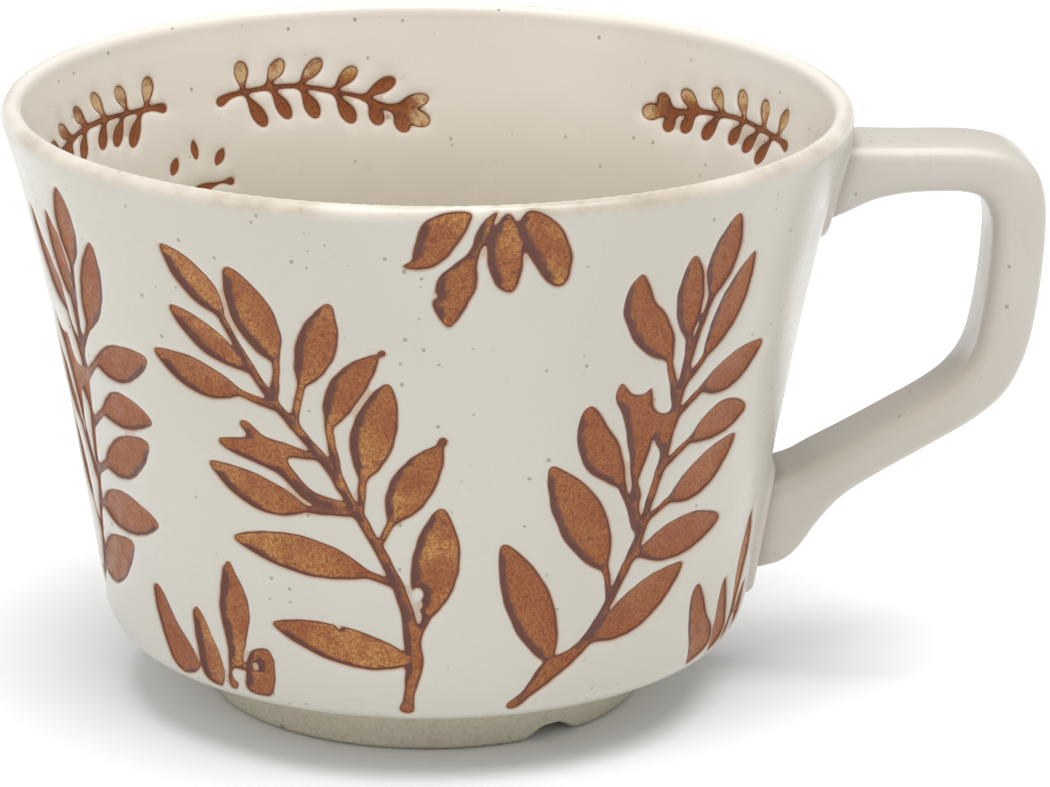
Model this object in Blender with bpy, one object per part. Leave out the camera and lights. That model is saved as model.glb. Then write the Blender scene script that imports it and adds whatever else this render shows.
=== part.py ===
"""Footed stoneware cup with a strap handle and leaf sprigs left bare in its cream glaze.

The cup is modelled as it is made: a turned clay body, a foot ring, a strap handle luted
on with two pads of slip, a glaze coat outside and one inside, and the brown stained leaves
that lie in windows of the coats.  Sizes are in millimetres and become metres in metres().

The leaf pattern is drawn flat.  Its u runs round the wall, measured as arc length on a
cylinder of PATTERN_RADIUS, and its v runs up the wall from the foot.  For the ferns inside
the cup v is the depth below the rim.
"""
import bmesh
import bpy
from math import cos, pi, radians, sin, tau
from mathutils import Vector
from mathutils.geometry import delaunay_2d_cdt

# Driving dimensions, in millimetres
LIP_CENTRE_RADIUS = 55.6
LIP_CENTRE_HEIGHT = 80.8
LIP_THICKNESS_RADIUS = 1.4
SHOULDER_RADIUS = 44.15
SHOULDER_HEIGHT = 14.5
UNDERSIDE_HEIGHT = 5.2
UNDERSIDE_RADIUS = 31.0
UNDERSIDE_SLOPE = radians(20)
FLOOR_HEIGHT = 9.5
FOOT_OUTER_RADIUS = 29.4
FOOT_INNER_RADIUS = 24.0
HANDLE_REACH = 83.2
HANDLE_WIDTH = 13.5
HANDLE_EDGE_RADIUS = 2.2
CUP_AXIS_X = (LIP_CENTRE_RADIUS + LIP_THICKNESS_RADIUS - HANDLE_REACH) / 2

# Layers on the wall, as offsets from the glazed surface
GAP = 0.3
GLAZE_THICKNESS = 0.5
CLAY_OFFSET = -(GLAZE_THICKNESS + 0.4)
LEAF_OFFSET = -0.15

# The flat pattern
PATTERN_RADIUS = 50.0
CIRCUMFERENCE = tau * PATTERN_RADIUS
PATTERN_REPEAT = 91.0
PATTERN_PHASE = 6.0
SEAM = 12.0
COAT_START = 0.6
COAT_END = 82.4
SEGMENTS = 48
WALL_ROWS = (0.3, 9.2, 10.6, 12.0, 13.4, 16.0, 32, 47, 58, 67, 75)
LINER_ROWS = (2.3, 20, 42, 62, 66, 70)
LINER_SEAM = 60.0

CREAM = (0.66, 0.63, 0.55, 1.0)
CREAM_INSIDE = (0.70, 0.68, 0.60, 1.0)
BARE_CLAY = (0.35, 0.31, 0.22, 1.0)
LEAF_BROWN = (0.24, 0.08, 0.035, 1.0)


def metres(radius, angle, height):
    """World place of a point given in cylinder coordinates about the cup's axis."""
    return Vector((CUP_AXIS_X + radius * cos(angle), radius * sin(angle), height)) * 0.001


def bezier(start, pull_start, pull_end, end, steps):
    """Points of a cubic curve, without its first point."""
    points = []
    for k in range(1, steps + 1):
        t = k / steps
        weights = ((1 - t) ** 3, 3 * t * (1 - t) ** 2, 3 * t * t * (1 - t), t ** 3)
        pair = zip(weights, (start, pull_start, pull_end, end))
        points.append(sum((Vector(p) * w for w, p in pair), Vector((0, 0))))
    return points


class Wall:
    """A turned surface that can be addressed by its arc length and an offset along its normal."""

    def __init__(self, points):
        self.points = [Vector(p) for p in points]
        self.lengths = [0.0]
        for a, b in zip(self.points, self.points[1:]):
            self.lengths.append(self.lengths[-1] + (b - a).length)

    def at(self, v, offset=0.0):
        """Radius and height at arc length v; a positive offset is to the right of travel."""
        k = 1
        while k < len(self.lengths) - 1 and self.lengths[k] < v:
            k += 1
        a, b = self.points[k - 1], self.points[k]
        along = (b - a).normalized()
        place = a + along * (v - self.lengths[k - 1])
        return place + Vector((along.y, -along.x)) * offset


def outer_wall():
    """Glazed outside, from the foot junction round the shoulder and up to the lip."""
    start = Vector((UNDERSIDE_RADIUS, UNDERSIDE_HEIGHT))
    slope = Vector((cos(UNDERSIDE_SLOPE), sin(UNDERSIDE_SLOPE)))
    shoulder = Vector((SHOULDER_RADIUS, SHOULDER_HEIGHT))
    up = Vector((0.165, 1.0)).normalized()
    turn = start + slope * 9.0
    points = [start, turn]
    points += bezier(turn, turn + slope * 3.2, shoulder - up * 3.6, shoulder, 12)
    points += bezier(shoulder, shoulder + up * 22, (51.3, 62.0), (57.0, 80.3), 30)
    return Wall(points)


def inner_wall():
    """Glazed inside, from the lip down to the middle of the floor."""
    rim, corner, floor = (54.2, 80.6), (40.6, 17.5), (33.0, FLOOR_HEIGHT)
    points = [rim]
    points += bezier(rim, (49.6, 62.0), (44.3, 36.0), corner, 30)
    points += bezier(corner, (39.6, 12.5), (37.5, FLOOR_HEIGHT), floor, 8)
    points.append((0.0, FLOOR_HEIGHT))
    return Wall(points)


OUTSIDE = outer_wall()
INSIDE = inner_wall()


# Materials and objects

def material(name, colour, roughness):
    made = bpy.data.materials.new(name)
    made.use_nodes = True
    shader = made.node_tree.nodes["Principled BSDF"]
    shader.inputs["Base Color"].default_value = colour
    shader.inputs["Roughness"].default_value = roughness
    made.diffuse_color = colour
    return made


def add_object(name, mesh_maker, skin):
    """Link the closed mesh held by a bmesh as a named object with one material."""
    bmesh.ops.recalc_face_normals(mesh_maker, faces=mesh_maker.faces)
    mesh = bpy.data.meshes.new(name)
    mesh_maker.to_mesh(mesh)
    mesh_maker.free()
    mesh.materials.append(skin)
    mesh.shade_smooth()
    mesh.set_sharp_from_angle(angle=radians(40))
    made = bpy.data.objects.new(name, mesh)
    bpy.context.scene.collection.objects.link(made)
    return made


def turned(name, profile, skin, segments=SEGMENTS):
    """Solid of revolution about the cup's axis from a closed profile of radius and height."""
    maker = bmesh.new()
    corners = [maker.verts.new(metres(r, 0, z)) for r, z in profile]
    edges = [maker.edges.new(pair) for pair in zip(corners, corners[1:])]
    if profile[0][0] > 0:
        edges.append(maker.edges.new((corners[-1], corners[0])))
    centre = metres(0, 0, 0)
    bmesh.ops.spin(maker, geom=corners + edges, cent=centre, axis=(0, 0, 1), angle=tau,
                   steps=segments, use_duplicate=False)
    bmesh.ops.remove_doubles(maker, verts=maker.verts, dist=1e-6)
    return add_object(name, maker, skin)


# The flat pattern: polygons, their union, and bending it round a wall

def leaf(base, tip, left, right, grow=0.0, steps=3):
    """Outline of a pointed leaf with its own half width on each side of its midrib."""
    base, tip = Vector(base), Vector(tip)
    along = (tip - base).normalized()
    side = Vector((-along.y, along.x))
    base, tip = base - along * grow * 1.5, tip + along * grow * 1.5
    outline = [base]
    shares = [k / steps for k in range(1, steps)]
    for t in shares:
        outline.append(base.lerp(tip, t) - side * (grow + right * sin(pi * t) ** 0.8))
    outline.append(tip)
    for t in reversed(shares):
        outline.append(base.lerp(tip, t) + side * (grow + left * sin(pi * t) ** 0.8))
    return outline


def strip(points, half_widths, grow=0.0):
    """Outline of a stem that follows points, with a half width at each of them."""
    points = [Vector(p) for p in points]
    lefts, rights = [], []
    for k, point in enumerate(points):
        along = (points[min(k + 1, len(points) - 1)] - points[max(k - 1, 0)]).normalized()
        side = Vector((-along.y, along.x)) * (half_widths[k] + grow)
        end = -grow if k == 0 else grow if k == len(points) - 1 else 0.0
        lefts.append(point + side + along * end)
        rights.append(point - side + along * end)
    return rights + lefts[::-1]


def sprig_polygons(sprig, shift, grow=0.0):
    """All outlines of one sprig, moved round the wall by shift."""
    polygons = []
    if sprig["stem"]:
        polygons.append(strip(sprig["stem"], sprig["stem_widths"], grow))
    for root, base, tip, left, right in sprig["leaves"]:
        polygons.append(leaf(base, tip, left, right, grow))
        if root:
            into = Vector(base).lerp(Vector(tip), 0.15)
            polygons.append(strip((root, into), (0.5, 0.6), grow))
    return [[Vector((p.x + shift, p.y)) for p in polygon] for polygon in polygons]


def box_outline(half_u, low_v, high_v, shift, grow=0.0):
    """Outline of a pad with cut corners."""
    u, cut = half_u + grow, 2.0
    low, high = low_v - grow, high_v + grow
    corners = [(-u, low + cut), (-u + cut, low), (u - cut, low), (u, low + cut),
               (u, high - cut), (u - cut, high), (-u + cut, high), (-u, high - cut)]
    return [Vector((x + shift, y)) for x, y in corners]


def flat_union(polygons, low, high, seam=SEAM, keep_inside=True, extra=()):
    """Triangles of the union of polygons between two heights, or of what they leave of a coat."""
    us = [p.x for polygon in polygons for p in polygon]
    left, right = (min(us) - 1, max(us) + 1) if keep_inside else (seam - CIRCUMFERENCE, seam)
    frame = [Vector(p) for p in ((left, low), (right, low), (right, high), (left, high))]
    points, faces = [], []
    for outline in [frame] + polygons:
        faces.append(list(range(len(points), len(points) + len(outline))))
        points.extend(outline)
    points.extend(Vector(p) for p in extra)
    verts, _, triangles, _, _, owners = delaunay_2d_cdt(points, [], faces, 0, 1e-4)
    kept = []
    for triangle, owner in zip(triangles, owners):
        drawn = any(face > 0 for face in owner)
        if 0 in owner and drawn == keep_inside:
            kept.append(tuple(triangle))
    return verts, kept


def weld_seam(verts, triangles, seam):
    """Give points a full turn apart one number, so that a coat closes round the cup."""
    numbers, places, renumber = {}, [], {}
    for triangle in triangles:
        for k in triangle:
            u = round((verts[k].x - seam) % CIRCUMFERENCE, 3)
            key = (0.0 if u >= round(CIRCUMFERENCE, 3) else u, round(verts[k].y, 3))
            if key not in numbers:
                numbers[key] = len(places)
                places.append(verts[k])
            renumber[k] = numbers[key]
    welded = [tuple(renumber[k] for k in triangle) for triangle in triangles]
    return places, [triangle for triangle in welded if len(set(triangle)) == 3]


def largest_piece(triangles):
    """The triangles of the largest connected region."""
    by_edge = {}
    for number, triangle in enumerate(triangles):
        for a, b in zip(triangle, triangle[1:] + triangle[:1]):
            by_edge.setdefault(frozenset((a, b)), []).append(number)
    unseen, best = set(range(len(triangles))), []
    while unseen:
        piece, front = [], [unseen.pop()]
        while front:
            number = front.pop()
            piece.append(number)
            triangle = triangles[number]
            for a, b in zip(triangle, triangle[1:] + triangle[:1]):
                for other in by_edge[frozenset((a, b))]:
                    if other in unseen:
                        unseen.discard(other)
                        front.append(other)
        if len(piece) > len(best):
            best = piece
    return [triangles[number] for number in best]


def bent_layer(name, flat, wall, low_offset, high_offset, seam, skin):
    """Bend flat triangles round a wall as one closed layer between two offsets."""
    places, triangles = weld_seam(*flat, seam)
    triangles = largest_piece(triangles)
    used = sorted({k for triangle in triangles for k in triangle})
    maker = bmesh.new()
    sheets = []
    for offset in (low_offset, high_offset):
        sheet = {}
        for k in used:
            radius, height = wall.at(places[k].y, offset)
            sheet[k] = maker.verts.new(metres(radius, places[k].x / PATTERN_RADIUS, height))
        sheets.append(sheet)
    borders = {}
    for triangle in triangles:
        maker.faces.new([sheets[1][k] for k in triangle])
        maker.faces.new([sheets[0][k] for k in reversed(triangle)])
        for a, b in zip(triangle, triangle[1:] + triangle[:1]):
            borders[(a, b)] = borders.get((b, a), 0) + 1
    for a, b in borders:
        if (b, a) not in borders:
            maker.faces.new((sheets[1][b], sheets[1][a], sheets[0][a], sheets[0][b]))
    bmesh.ops.remove_doubles(maker, verts=maker.verts, dist=1e-6)
    loose = [edge for edge in maker.edges if not edge.link_faces]
    bmesh.ops.delete(maker, geom=loose, context="EDGES")
    return add_object(name, maker, skin)


# Leaves: (root on the stem or None, blade base, tip, left half width, right half width)

LEANING_SPRIG = {
    "stem": [(-90, 12.7), (-89.4, 16.5), (-88.8, 20.5), (-89.2, 25), (-90, 29), (-91.5, 33),
             (-93.6, 37.2), (-96, 41.6), (-98.5, 46), (-101, 50), (-104, 53.6), (-107.5, 58),
             (-110.5, 63.2), (-112.8, 68), (-113.8, 70.5)],
    "stem_widths": [1.1, 0.8, 1.5, 1.2, 0.9, 0.8, 0.8, 0.8, 0.7, 0.7, 0.65, 0.6, 0.6, 0.6, 0.5],
    "leaves": [
        (None, (-112.6, 68.6), (-120.6, 77.4), 1.7, 2.4),
        ((-109.5, 61.5), (-110.8, 61.6), (-120.8, 68.7), 2.0, 1.5),
        ((-106.6, 56.4), (-111.6, 57.8), (-124.8, 61.5), 2.8, 1.6),
        ((-106.9, 57.5), (-106.1, 63.2), (-111.2, 75.8), 2.8, 2.6),
        ((-104.6, 54.0), (-103.0, 60.0), (-98.8, 72.1), 2.0, 2.4),
        ((-98.4, 45.5), (-99.7, 54.6), (-93.2, 65.2), 2.6, 1.3),
        ((-95.9, 42.5), (-95.5, 47.4), (-91.9, 61.1), 2.7, 2.6),
        ((-93.4, 38.0), (-91.9, 41.0), (-85.0, 52.6), 2.9, 2.3),
        ((-88.8, 24.0), (-87.0, 27.6), (-85.1, 43.3), 2.9, 3.3),
        ((-97.5, 43.2), (-101.2, 43.5), (-115.5, 50.7), 1.6, 2.6),
        ((-101.5, 50.2), (-103.0, 50.6), (-111.9, 53.7), 1.4, 0.8),
        ((-96.2, 42.2), (-103.4, 42.2), (-117.7, 46.7), 3.0, 1.4),
        ((-91.6, 32.2), (-95.2, 33.4), (-115.0, 36.6), 1.9, 3.2),
        (None, (-88.8, 20.7), (-110.1, 24.6), 2.4, 2.7),
    ],
}

UPRIGHT_SPRIG = {
    "stem": [(-74, 13.1), (-71.6, 15.4), (-68.6, 18.4), (-64.2, 20.8), (-61.5, 24), (-59.5, 27.5),
             (-57.5, 31.6), (-55.6, 36), (-54.8, 40), (-53.8, 44), (-53, 48), (-52.7, 52),
             (-52, 56), (-51.5, 60), (-52, 65)],
    "stem_widths": [1.1, 0.8, 1.7, 1.0, 0.8, 0.8, 0.8, 0.8, 0.75, 0.75, 0.75, 0.8, 0.8, 0.8, 0.5],
    "leaves": [
        (None, (-68.2, 19.6), (-76.6, 37.8), 3.1, 3.0),
        ((-59.6, 28.0), (-60.8, 32.4), (-70.6, 48.4), 3.0, 3.3),
        ((-56.3, 37.5), (-59.4, 43.8), (-66.1, 56.8), 3.0, 2.3),
        ((-58.7, 42.6), (-57.7, 43.4), (-61.8, 59.4), 1.6, 2.3),
        ((-58.2, 42.4), (-57.5, 45.0), (-57.0, 58.2), 1.6, 1.3),
        ((-52.6, 54.0), (-55.0, 61.8), (-60.9, 74.8), 3.2, 1.7),
        (None, (-52.1, 63.8), (-53.6, 76.1), 2.0, 1.9),
        ((-51.4, 60.5), (-49.3, 69.5), (-47.6, 81.0), 2.1, 2.4),
        ((-51.7, 57.0), (-48.4, 60.6), (-42.6, 74.2), 1.9, 2.7),
        ((-52.6, 52.2), (-48.0, 55.8), (-35.4, 59.5), 1.9, 2.7),
        ((-53.2, 45.6), (-48.6, 48.6), (-36.4, 50.2), 3.0, 1.6),
        ((-55.1, 38.2), (-50.9, 40.5), (-38.0, 46.8), 2.0, 3.2),
        ((-56.9, 33.2), (-55.4, 33.5), (-38.5, 34.9), 3.1, 2.4),
        ((-62.6, 22.3), (-61.6, 22.2), (-46.0, 30.2), 2.7, 3.3),
    ],
}
FORK_WEB = [(-57.8, 50.6), (-52.8, 52.4), (-52.6, 54.4), (-57.4, 54.2)]

TUFT_BLADES = [
    ((-128.0, 12.8), (-132.4, 26.0), 2.4, 2.7),
    ((-122.0, 12.8), (-124.2, 24.6), 2.0, 2.6),
    ((-117.4, 13.0), (-116.6, 32.8), 2.6, 2.3),
    ((-114.9, 12.9), (-111.4, 21.0), 2.1, 2.2),
]
HANGING_PETALS = [
    ((-83.2, 85.4), (-89.9, 77.8), 2.3, 2.3),
    ((-83.2, 81.0), (-84.9, 69.8), 2.4, 2.4),
    ((-78.9, 86.0), (-77.5, 74.2), 2.0, 2.1),
    ((-76.0, 85.0), (-71.3, 74.6), 2.4, 2.2),
]
PETAL_STALK = [(-80.6, 84.5), (-82.2, 81.8), (-83.4, 79.0)]
# Ferns inside: (distance outward from the middle of the pair, depth below the rim)
FERN_STEM = [(4.6, 9.6), (8.5, 9.2), (16.0, 8.8), (20.6, 8.9), (25.4, 9.4), (32.0, 10.6)]
FERN_STEM_WIDTHS = [0.8, 0.4, 0.4, 0.4, 0.4, 0.7]
FERN_LEAVES = [
    ((7.6, 9.6), (6.2, 4.9)), ((11.2, 9.4), (12.5, 5.0)), ((16.0, 9.2), (18.1, 4.8)),
    ((20.6, 9.3), (23.3, 5.7)), ((25.2, 9.8), (28.9, 7.1)), ((29.6, 10.6), (32.8, 8.5)),
    ((8.4, 8.9), (11.8, 13.7)), ((12.0, 8.7), (15.2, 12.8)), ((16.0, 8.5), (18.4, 12.5)),
    ((21.0, 8.7), (23.8, 12.9)), ((25.6, 9.2), (27.8, 12.8)), ((29.0, 9.9), (30.8, 13.1)),
    ((30.2, 10.4), (35.0, 11.0)),
]
# How far each fern of a pair sinks over its length, and how far it is moved outward
FERN_DROOPS = {(1, -1): 2.6}
FERN_MOVES = {(0, -1): 4.0}
FLORET_DROPS = [((0.0, 17.9), (0.2, 14.9)), ((4.9, 19.4), (3.4, 16.9)), ((-3.2, 19.3), (-4.8, 16.8))]
FLORET_BAR = [(6.4, 22.3), (2.4, 22.2), (0.0, 22.6), (-2.4, 21.8), (-5.8, 21.7)]
FLORET_BAR_WIDTHS = [0.85, 0.4, 0.95, 0.4, 0.85]
PAIR_CENTRES = (9.5, 111.5 - CIRCUMFERENCE, -99.2)
REPEATS = (0, 1, 2)


def repeat_shift(number):
    return PATTERN_PHASE - PATTERN_REPEAT * number


def pattern_pieces(grow=0.0):
    """Every leaf piece of the outside, as a name and its polygons."""
    pieces = []
    for number in REPEATS:
        shift, label = repeat_shift(number), "_" + str(number + 1)
        pieces.append(("leaning_sprig" + label, sprig_polygons(LEANING_SPRIG, shift, grow)))
        upright = sprig_polygons(UPRIGHT_SPRIG, shift, grow)
        upright.append([Vector((u + shift, v)) for u, v in FORK_WEB])
        pieces.append(("upright_sprig" + label, upright))
        for k, petal in enumerate(HANGING_PETALS):
            outlines = [leaf(*petal, grow)]
            if k == 1:
                outlines.append(strip(PETAL_STALK, (0.7, 0.7, 0.8), grow))
            moved = [[Vector((p.x + shift, p.y)) for p in outline] for outline in outlines]
            pieces.append(("hanging_petal%s_%d" % (label, k + 1), moved))
    for number in (-1,) + REPEATS[:2]:
        shift, label = repeat_shift(number), "_" + str(number + 2)
        for k, blade in enumerate(TUFT_BLADES):
            moved = [Vector((p.x + shift, p.y)) for p in leaf(*blade, grow)]
            pieces.append(("tuft_blade%s_%d" % (label, k + 1), [moved]))
    return pieces


def fern_pieces(grow=0.0):
    """Every fern and floret piece of the inside, as a name and its polygons."""
    pieces = []
    for number, centre in enumerate(PAIR_CENTRES):
        label = str(number + 1)
        for side, ending in ((1, "a"), (-1, "b")):
            start = centre + side * FERN_MOVES.get((number, side), 0.0)
            sink = FERN_DROOPS.get((number, side), 0.0)
            outlines = [strip(FERN_STEM, FERN_STEM_WIDTHS, grow)]
            outlines += [leaf(base, tip, 0.95, 0.95, grow) for base, tip in FERN_LEAVES]
            moved = [[Vector((start + side * p.x, p.y + sink * (p.x / 35) ** 2)) for p in outline]
                     for outline in outlines]
            if side < 0:
                moved = [outline[::-1] for outline in moved]
            pieces.append(("fern_%s_%s" % (label, ending), moved))
        drops = [leaf(base, tip, 0.8, 0.8, grow) for base, tip in FLORET_DROPS]
        bar = strip(FLORET_BAR, FLORET_BAR_WIDTHS, grow)
        for ending, outline in zip(("1", "2", "3", "bar"), drops + [bar]):
            moved = [Vector((centre + p.x, p.y)) for p in outline]
            pieces.append(("floret_%s_%s" % (label, ending), [moved]))
    return pieces


# The parts of the cup

def make_cup_body(skin):
    lip = Vector((LIP_CENTRE_RADIUS, LIP_CENTRE_HEIGHT))
    profile = [(0.0, UNDERSIDE_HEIGHT), (UNDERSIDE_RADIUS - 0.3, UNDERSIDE_HEIGHT)]
    rows = WALL_ROWS + (82.7,)
    profile += [OUTSIDE.at(v, CLAY_OFFSET) for v in rows]
    profile.append(OUTSIDE.at(COAT_END + GAP))
    for degrees in range(-20, 201, 44):
        turn = Vector((cos(radians(degrees)), sin(radians(degrees))))
        profile.append(lip + turn * LIP_THICKNESS_RADIUS)
    profile.append(INSIDE.at(LINER_ROWS[0] - GAP))
    profile += [INSIDE.at(v, CLAY_OFFSET) for v in (LINER_ROWS[0] - GAP,) + LINER_ROWS[1:]]
    profile.append((0.0, FLOOR_HEIGHT + CLAY_OFFSET))
    return turned("cup_body", profile, skin)


def make_liner_glaze(windows, skin):
    """Inner coat with fern windows; its last row of points meets at the cup's axis."""
    end = INSIDE.lengths[-1]
    columns = [LINER_SEAM - CIRCUMFERENCE * k / SEGMENTS for k in range(SEGMENTS + 1)]
    grid = [(u, v) for u in columns for v in LINER_ROWS + (end,)]
    flat = flat_union(windows, LINER_ROWS[0], end, LINER_SEAM, keep_inside=False, extra=grid)
    return bent_layer("liner_glaze", flat, INSIDE, -GLAZE_THICKNESS, 0.0, LINER_SEAM, skin)


def make_foot_ring(skin):
    """Turned ring with two drain notches across from each other."""
    top = UNDERSIDE_HEIGHT - GAP
    profile = [(FOOT_OUTER_RADIUS + 1.1, top), (FOOT_OUTER_RADIUS + 0.2, 1.2),
               (FOOT_OUTER_RADIUS - 0.4, 0.3), (FOOT_OUTER_RADIUS - 1.0, 0.0),
               (FOOT_INNER_RADIUS + 0.8, 0.0), (FOOT_INNER_RADIUS, 0.6),
               (FOOT_INNER_RADIUS - 0.8, top)]
    ring = turned("foot_ring", profile, skin)
    notch_radius, notch_sink = 5.0, 3.1
    for degrees in (-57.5, 122.5):
        angle = radians(degrees)
        middle = (FOOT_OUTER_RADIUS + FOOT_INNER_RADIUS) / 2
        bpy.ops.mesh.primitive_cylinder_add(vertices=24, radius=notch_radius * 0.001, depth=0.014)
        cutter = bpy.context.object
        cutter.name = "notch_cutter"
        cutter.rotation_euler = (0, pi / 2, angle)
        cutter.location = metres(middle, angle, -notch_sink)
        cutter.hide_render = True
        cutter.display_type = "WIRE"
        cut = ring.modifiers.new("drain_notch", "BOOLEAN")
        cut.operation = "DIFFERENCE"
        cut.object = cutter
    return ring


def handle_outline():
    """Side view of the strap: square shoulder above, slanting leg below, flared at both ends."""
    reach = HANDLE_REACH
    outer = [(44.0, 76.4), (73.0, 76.2)]
    outer += bezier((73.0, 76.2), (79.8, 76.0), (reach, 72.4), (reach, 65.6), 5)
    outer += [(reach - 0.2, 57.5), (reach - 1.2, 48.5)]
    outer += bezier((81.6, 48.5), (80.8, 42.0), (78.2, 39.6), (74.4, 37.2), 3)
    outer += bezier((74.4, 37.2), (64.0, 31.0), (54.5, 26.5), (50.3, 18.6), 4)
    outer.append((44.0, 14.5))
    inner = [(40.0, 14.5), (40.0, 24.5), (50.0, 30.7), (66.0, 39.1)]
    inner += bezier((66.0, 39.1), (72.0, 42.6), (73.6, 44.2), (74.3, 48.0), 4)
    inner += [(75.7, 57.0)]
    inner += bezier((75.7, 57.0), (76.4, 68.4), (76.0, 69.7), (69.5, 69.7), 5)
    inner += bezier((69.5, 69.7), (61.0, 70.0), (59.0, 68.2), (53.8, 65.6), 4)
    inner += [(46.0, 63.6), (44.0, 65.6)]
    return [Vector(p) for p in outer + inner]


def make_handle(skin):
    half = HANDLE_WIDTH / 2
    maker = bmesh.new()
    corners = [maker.verts.new((CUP_AXIS_X * 0.001 + x * 0.001, -half * 0.001, z * 0.001))
               for x, z in handle_outline()]
    front = maker.faces.new(corners)
    grown = bmesh.ops.extrude_face_region(maker, geom=[front])
    moved = [item for item in grown["geom"] if isinstance(item, bmesh.types.BMVert)]
    bmesh.ops.translate(maker, verts=moved, vec=(0, HANDLE_WIDTH * 0.001, 0))
    handle = add_object("handle", maker, skin)
    soften = handle.modifiers.new("rounded_edges", "BEVEL")
    soften.width = HANDLE_EDGE_RADIUS * 0.001
    soften.segments = 2
    soften.limit_method = "ANGLE"
    soften.angle_limit = radians(60)
    rows = (4.0, 9.5, 12.0, 14.5, 18.0, 28, 42, 56, 68, 77, 83.5)
    clearance = 0.4 + GAP
    profile = [(0.0, 2.0), (34.0, 2.0)] + [OUTSIDE.at(v, clearance) for v in rows] + [(0.0, 84.0)]
    cutter = turned("handle_cutter", profile, skin, 96)
    cutter.hide_render = True
    cutter.display_type = "WIRE"
    cut = handle.modifiers.new("seat_on_wall", "BOOLEAN")
    cut.operation = "DIFFERENCE"
    cut.object = cutter
    return handle


JOINT_PADS = {
    "handle_joint_upper": (7.2, 68.9, 80.0),
    "handle_joint_lower": (8.3, 17.6, 34.6),
}


def coat_grid():
    """Points that keep the outer coat round between its windows."""
    rows = (COAT_START,) + WALL_ROWS[1:] + (COAT_END,)
    spots = range(SEGMENTS + 1)
    return [(SEAM - CIRCUMFERENCE * k / SEGMENTS, v) for k in spots for v in rows]


def main():
    for item in list(bpy.data.objects):
        bpy.data.objects.remove(item)
    clay = material("bare_clay", BARE_CLAY, 0.75)
    cream = material("cream_glaze", CREAM, 0.28)
    cream_inside = material("cream_liner", CREAM_INSIDE, 0.22)
    brown = material("leaf_stain", LEAF_BROWN, 0.45)
    make_cup_body(clay)
    make_foot_ring(clay)
    make_handle(cream)
    for name, polygons in fern_pieces():
        flat = flat_union(polygons, LINER_ROWS[0], LINER_ROWS[2])
        bent_layer(name, flat, INSIDE, -GLAZE_THICKNESS, LEAF_OFFSET, LINER_SEAM, brown)
    fern_windows = [outline for _, polygons in fern_pieces(GAP) for outline in polygons]
    make_liner_glaze(fern_windows, cream_inside)
    windows = []
    for name, polygons in pattern_pieces():
        flat = flat_union(polygons, COAT_START, COAT_END)
        bent_layer(name, flat, OUTSIDE, -GLAZE_THICKNESS, LEAF_OFFSET, SEAM, brown)
    for name, polygons in pattern_pieces(GAP):
        windows += polygons
    for name, (half_u, low, high) in JOINT_PADS.items():
        pad = box_outline(half_u, low, high, 0)
        rows = [low + (high - low) * k / 4 for k in range(5)]
        grid = [(half_u * k / 3, v) for k in range(-2, 3) for v in rows]
        flat = flat_union([pad], COAT_START, COAT_END, extra=grid)
        bent_layer(name, flat, OUTSIDE, -GLAZE_THICKNESS, 0.4, SEAM, cream)
        windows.append(box_outline(half_u, low, high, 0, GAP))
    coat = flat_union(windows, COAT_START, COAT_END, keep_inside=False, extra=coat_grid())
    bent_layer("outer_glaze", coat, OUTSIDE, -GLAZE_THICKNESS, 0.0, SEAM, cream)


main()
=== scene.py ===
from math import cos, pi, radians, sin, tau

import bmesh
import bpy
import numpy as np
from mathutils import Matrix, Vector
from mathutils.geometry import delaunay_2d_cdt


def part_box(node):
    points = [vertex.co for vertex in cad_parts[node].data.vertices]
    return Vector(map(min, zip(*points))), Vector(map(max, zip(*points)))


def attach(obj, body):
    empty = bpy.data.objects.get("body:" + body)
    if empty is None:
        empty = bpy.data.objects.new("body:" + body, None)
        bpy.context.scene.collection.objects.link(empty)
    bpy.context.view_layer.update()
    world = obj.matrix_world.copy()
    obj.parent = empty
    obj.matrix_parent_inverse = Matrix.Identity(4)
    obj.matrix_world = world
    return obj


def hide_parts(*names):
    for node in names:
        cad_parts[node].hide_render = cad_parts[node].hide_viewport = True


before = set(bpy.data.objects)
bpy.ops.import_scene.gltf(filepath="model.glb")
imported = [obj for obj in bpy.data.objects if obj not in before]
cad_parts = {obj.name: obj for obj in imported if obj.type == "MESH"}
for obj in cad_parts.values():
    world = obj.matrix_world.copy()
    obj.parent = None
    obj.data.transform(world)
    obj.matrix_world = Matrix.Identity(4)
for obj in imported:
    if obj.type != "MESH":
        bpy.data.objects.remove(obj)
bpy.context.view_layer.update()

# Lengths are in millimetres until place() turns them into metres of the CAD frame.
MM = 0.001
PATTERN_RADIUS = 50.0
CIRCUMFERENCE = tau * PATTERN_RADIUS
PATTERN_REPEAT = 91.0
PATTERN_PHASE = 6.0
SEAM = 12.0
FERN_TURN = 48.0
LIP_CENTRE = (55.6, 80.8)
LIP_RADIUS = 1.4
FLOOR_HEIGHT = 9.5
UNDERSIDE_HEIGHT = 5.2
# Backs of the glaze, of the stained leaves and of the clay's own skin, as offsets from the glaze
GLAZE_BACK, STAIN_BACK, CLAY_SKIN = -1.0, -1.1, -1.05

low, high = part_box("cup_body")
AXIS_X = (low.x + high.x) / 2 / MM


def place(radius, angle, height):
    """World place in metres of points given in cylinder coordinates about the cup's axis."""
    return np.stack([AXIS_X + radius * np.cos(angle), radius * np.sin(angle), height], -1) * MM


# ---------------------------------------------------------------- turned surfaces

def run_lengths(points):
    """Length of a line up to each of its points."""
    return np.concatenate([[0], np.cumsum(np.linalg.norm(np.diff(points, axis=0), axis=1))])


def spread(points, marks):
    """Flat points at marks along the length of a line."""
    lengths = run_lengths(points)
    return np.stack([np.interp(marks, lengths, points[:, k]) for k in (0, 1)], -1)


def directions(points):
    """Unit vectors along a line."""
    along = np.gradient(points, axis=0)
    return along / np.linalg.norm(along, axis=1)[:, None]


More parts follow.
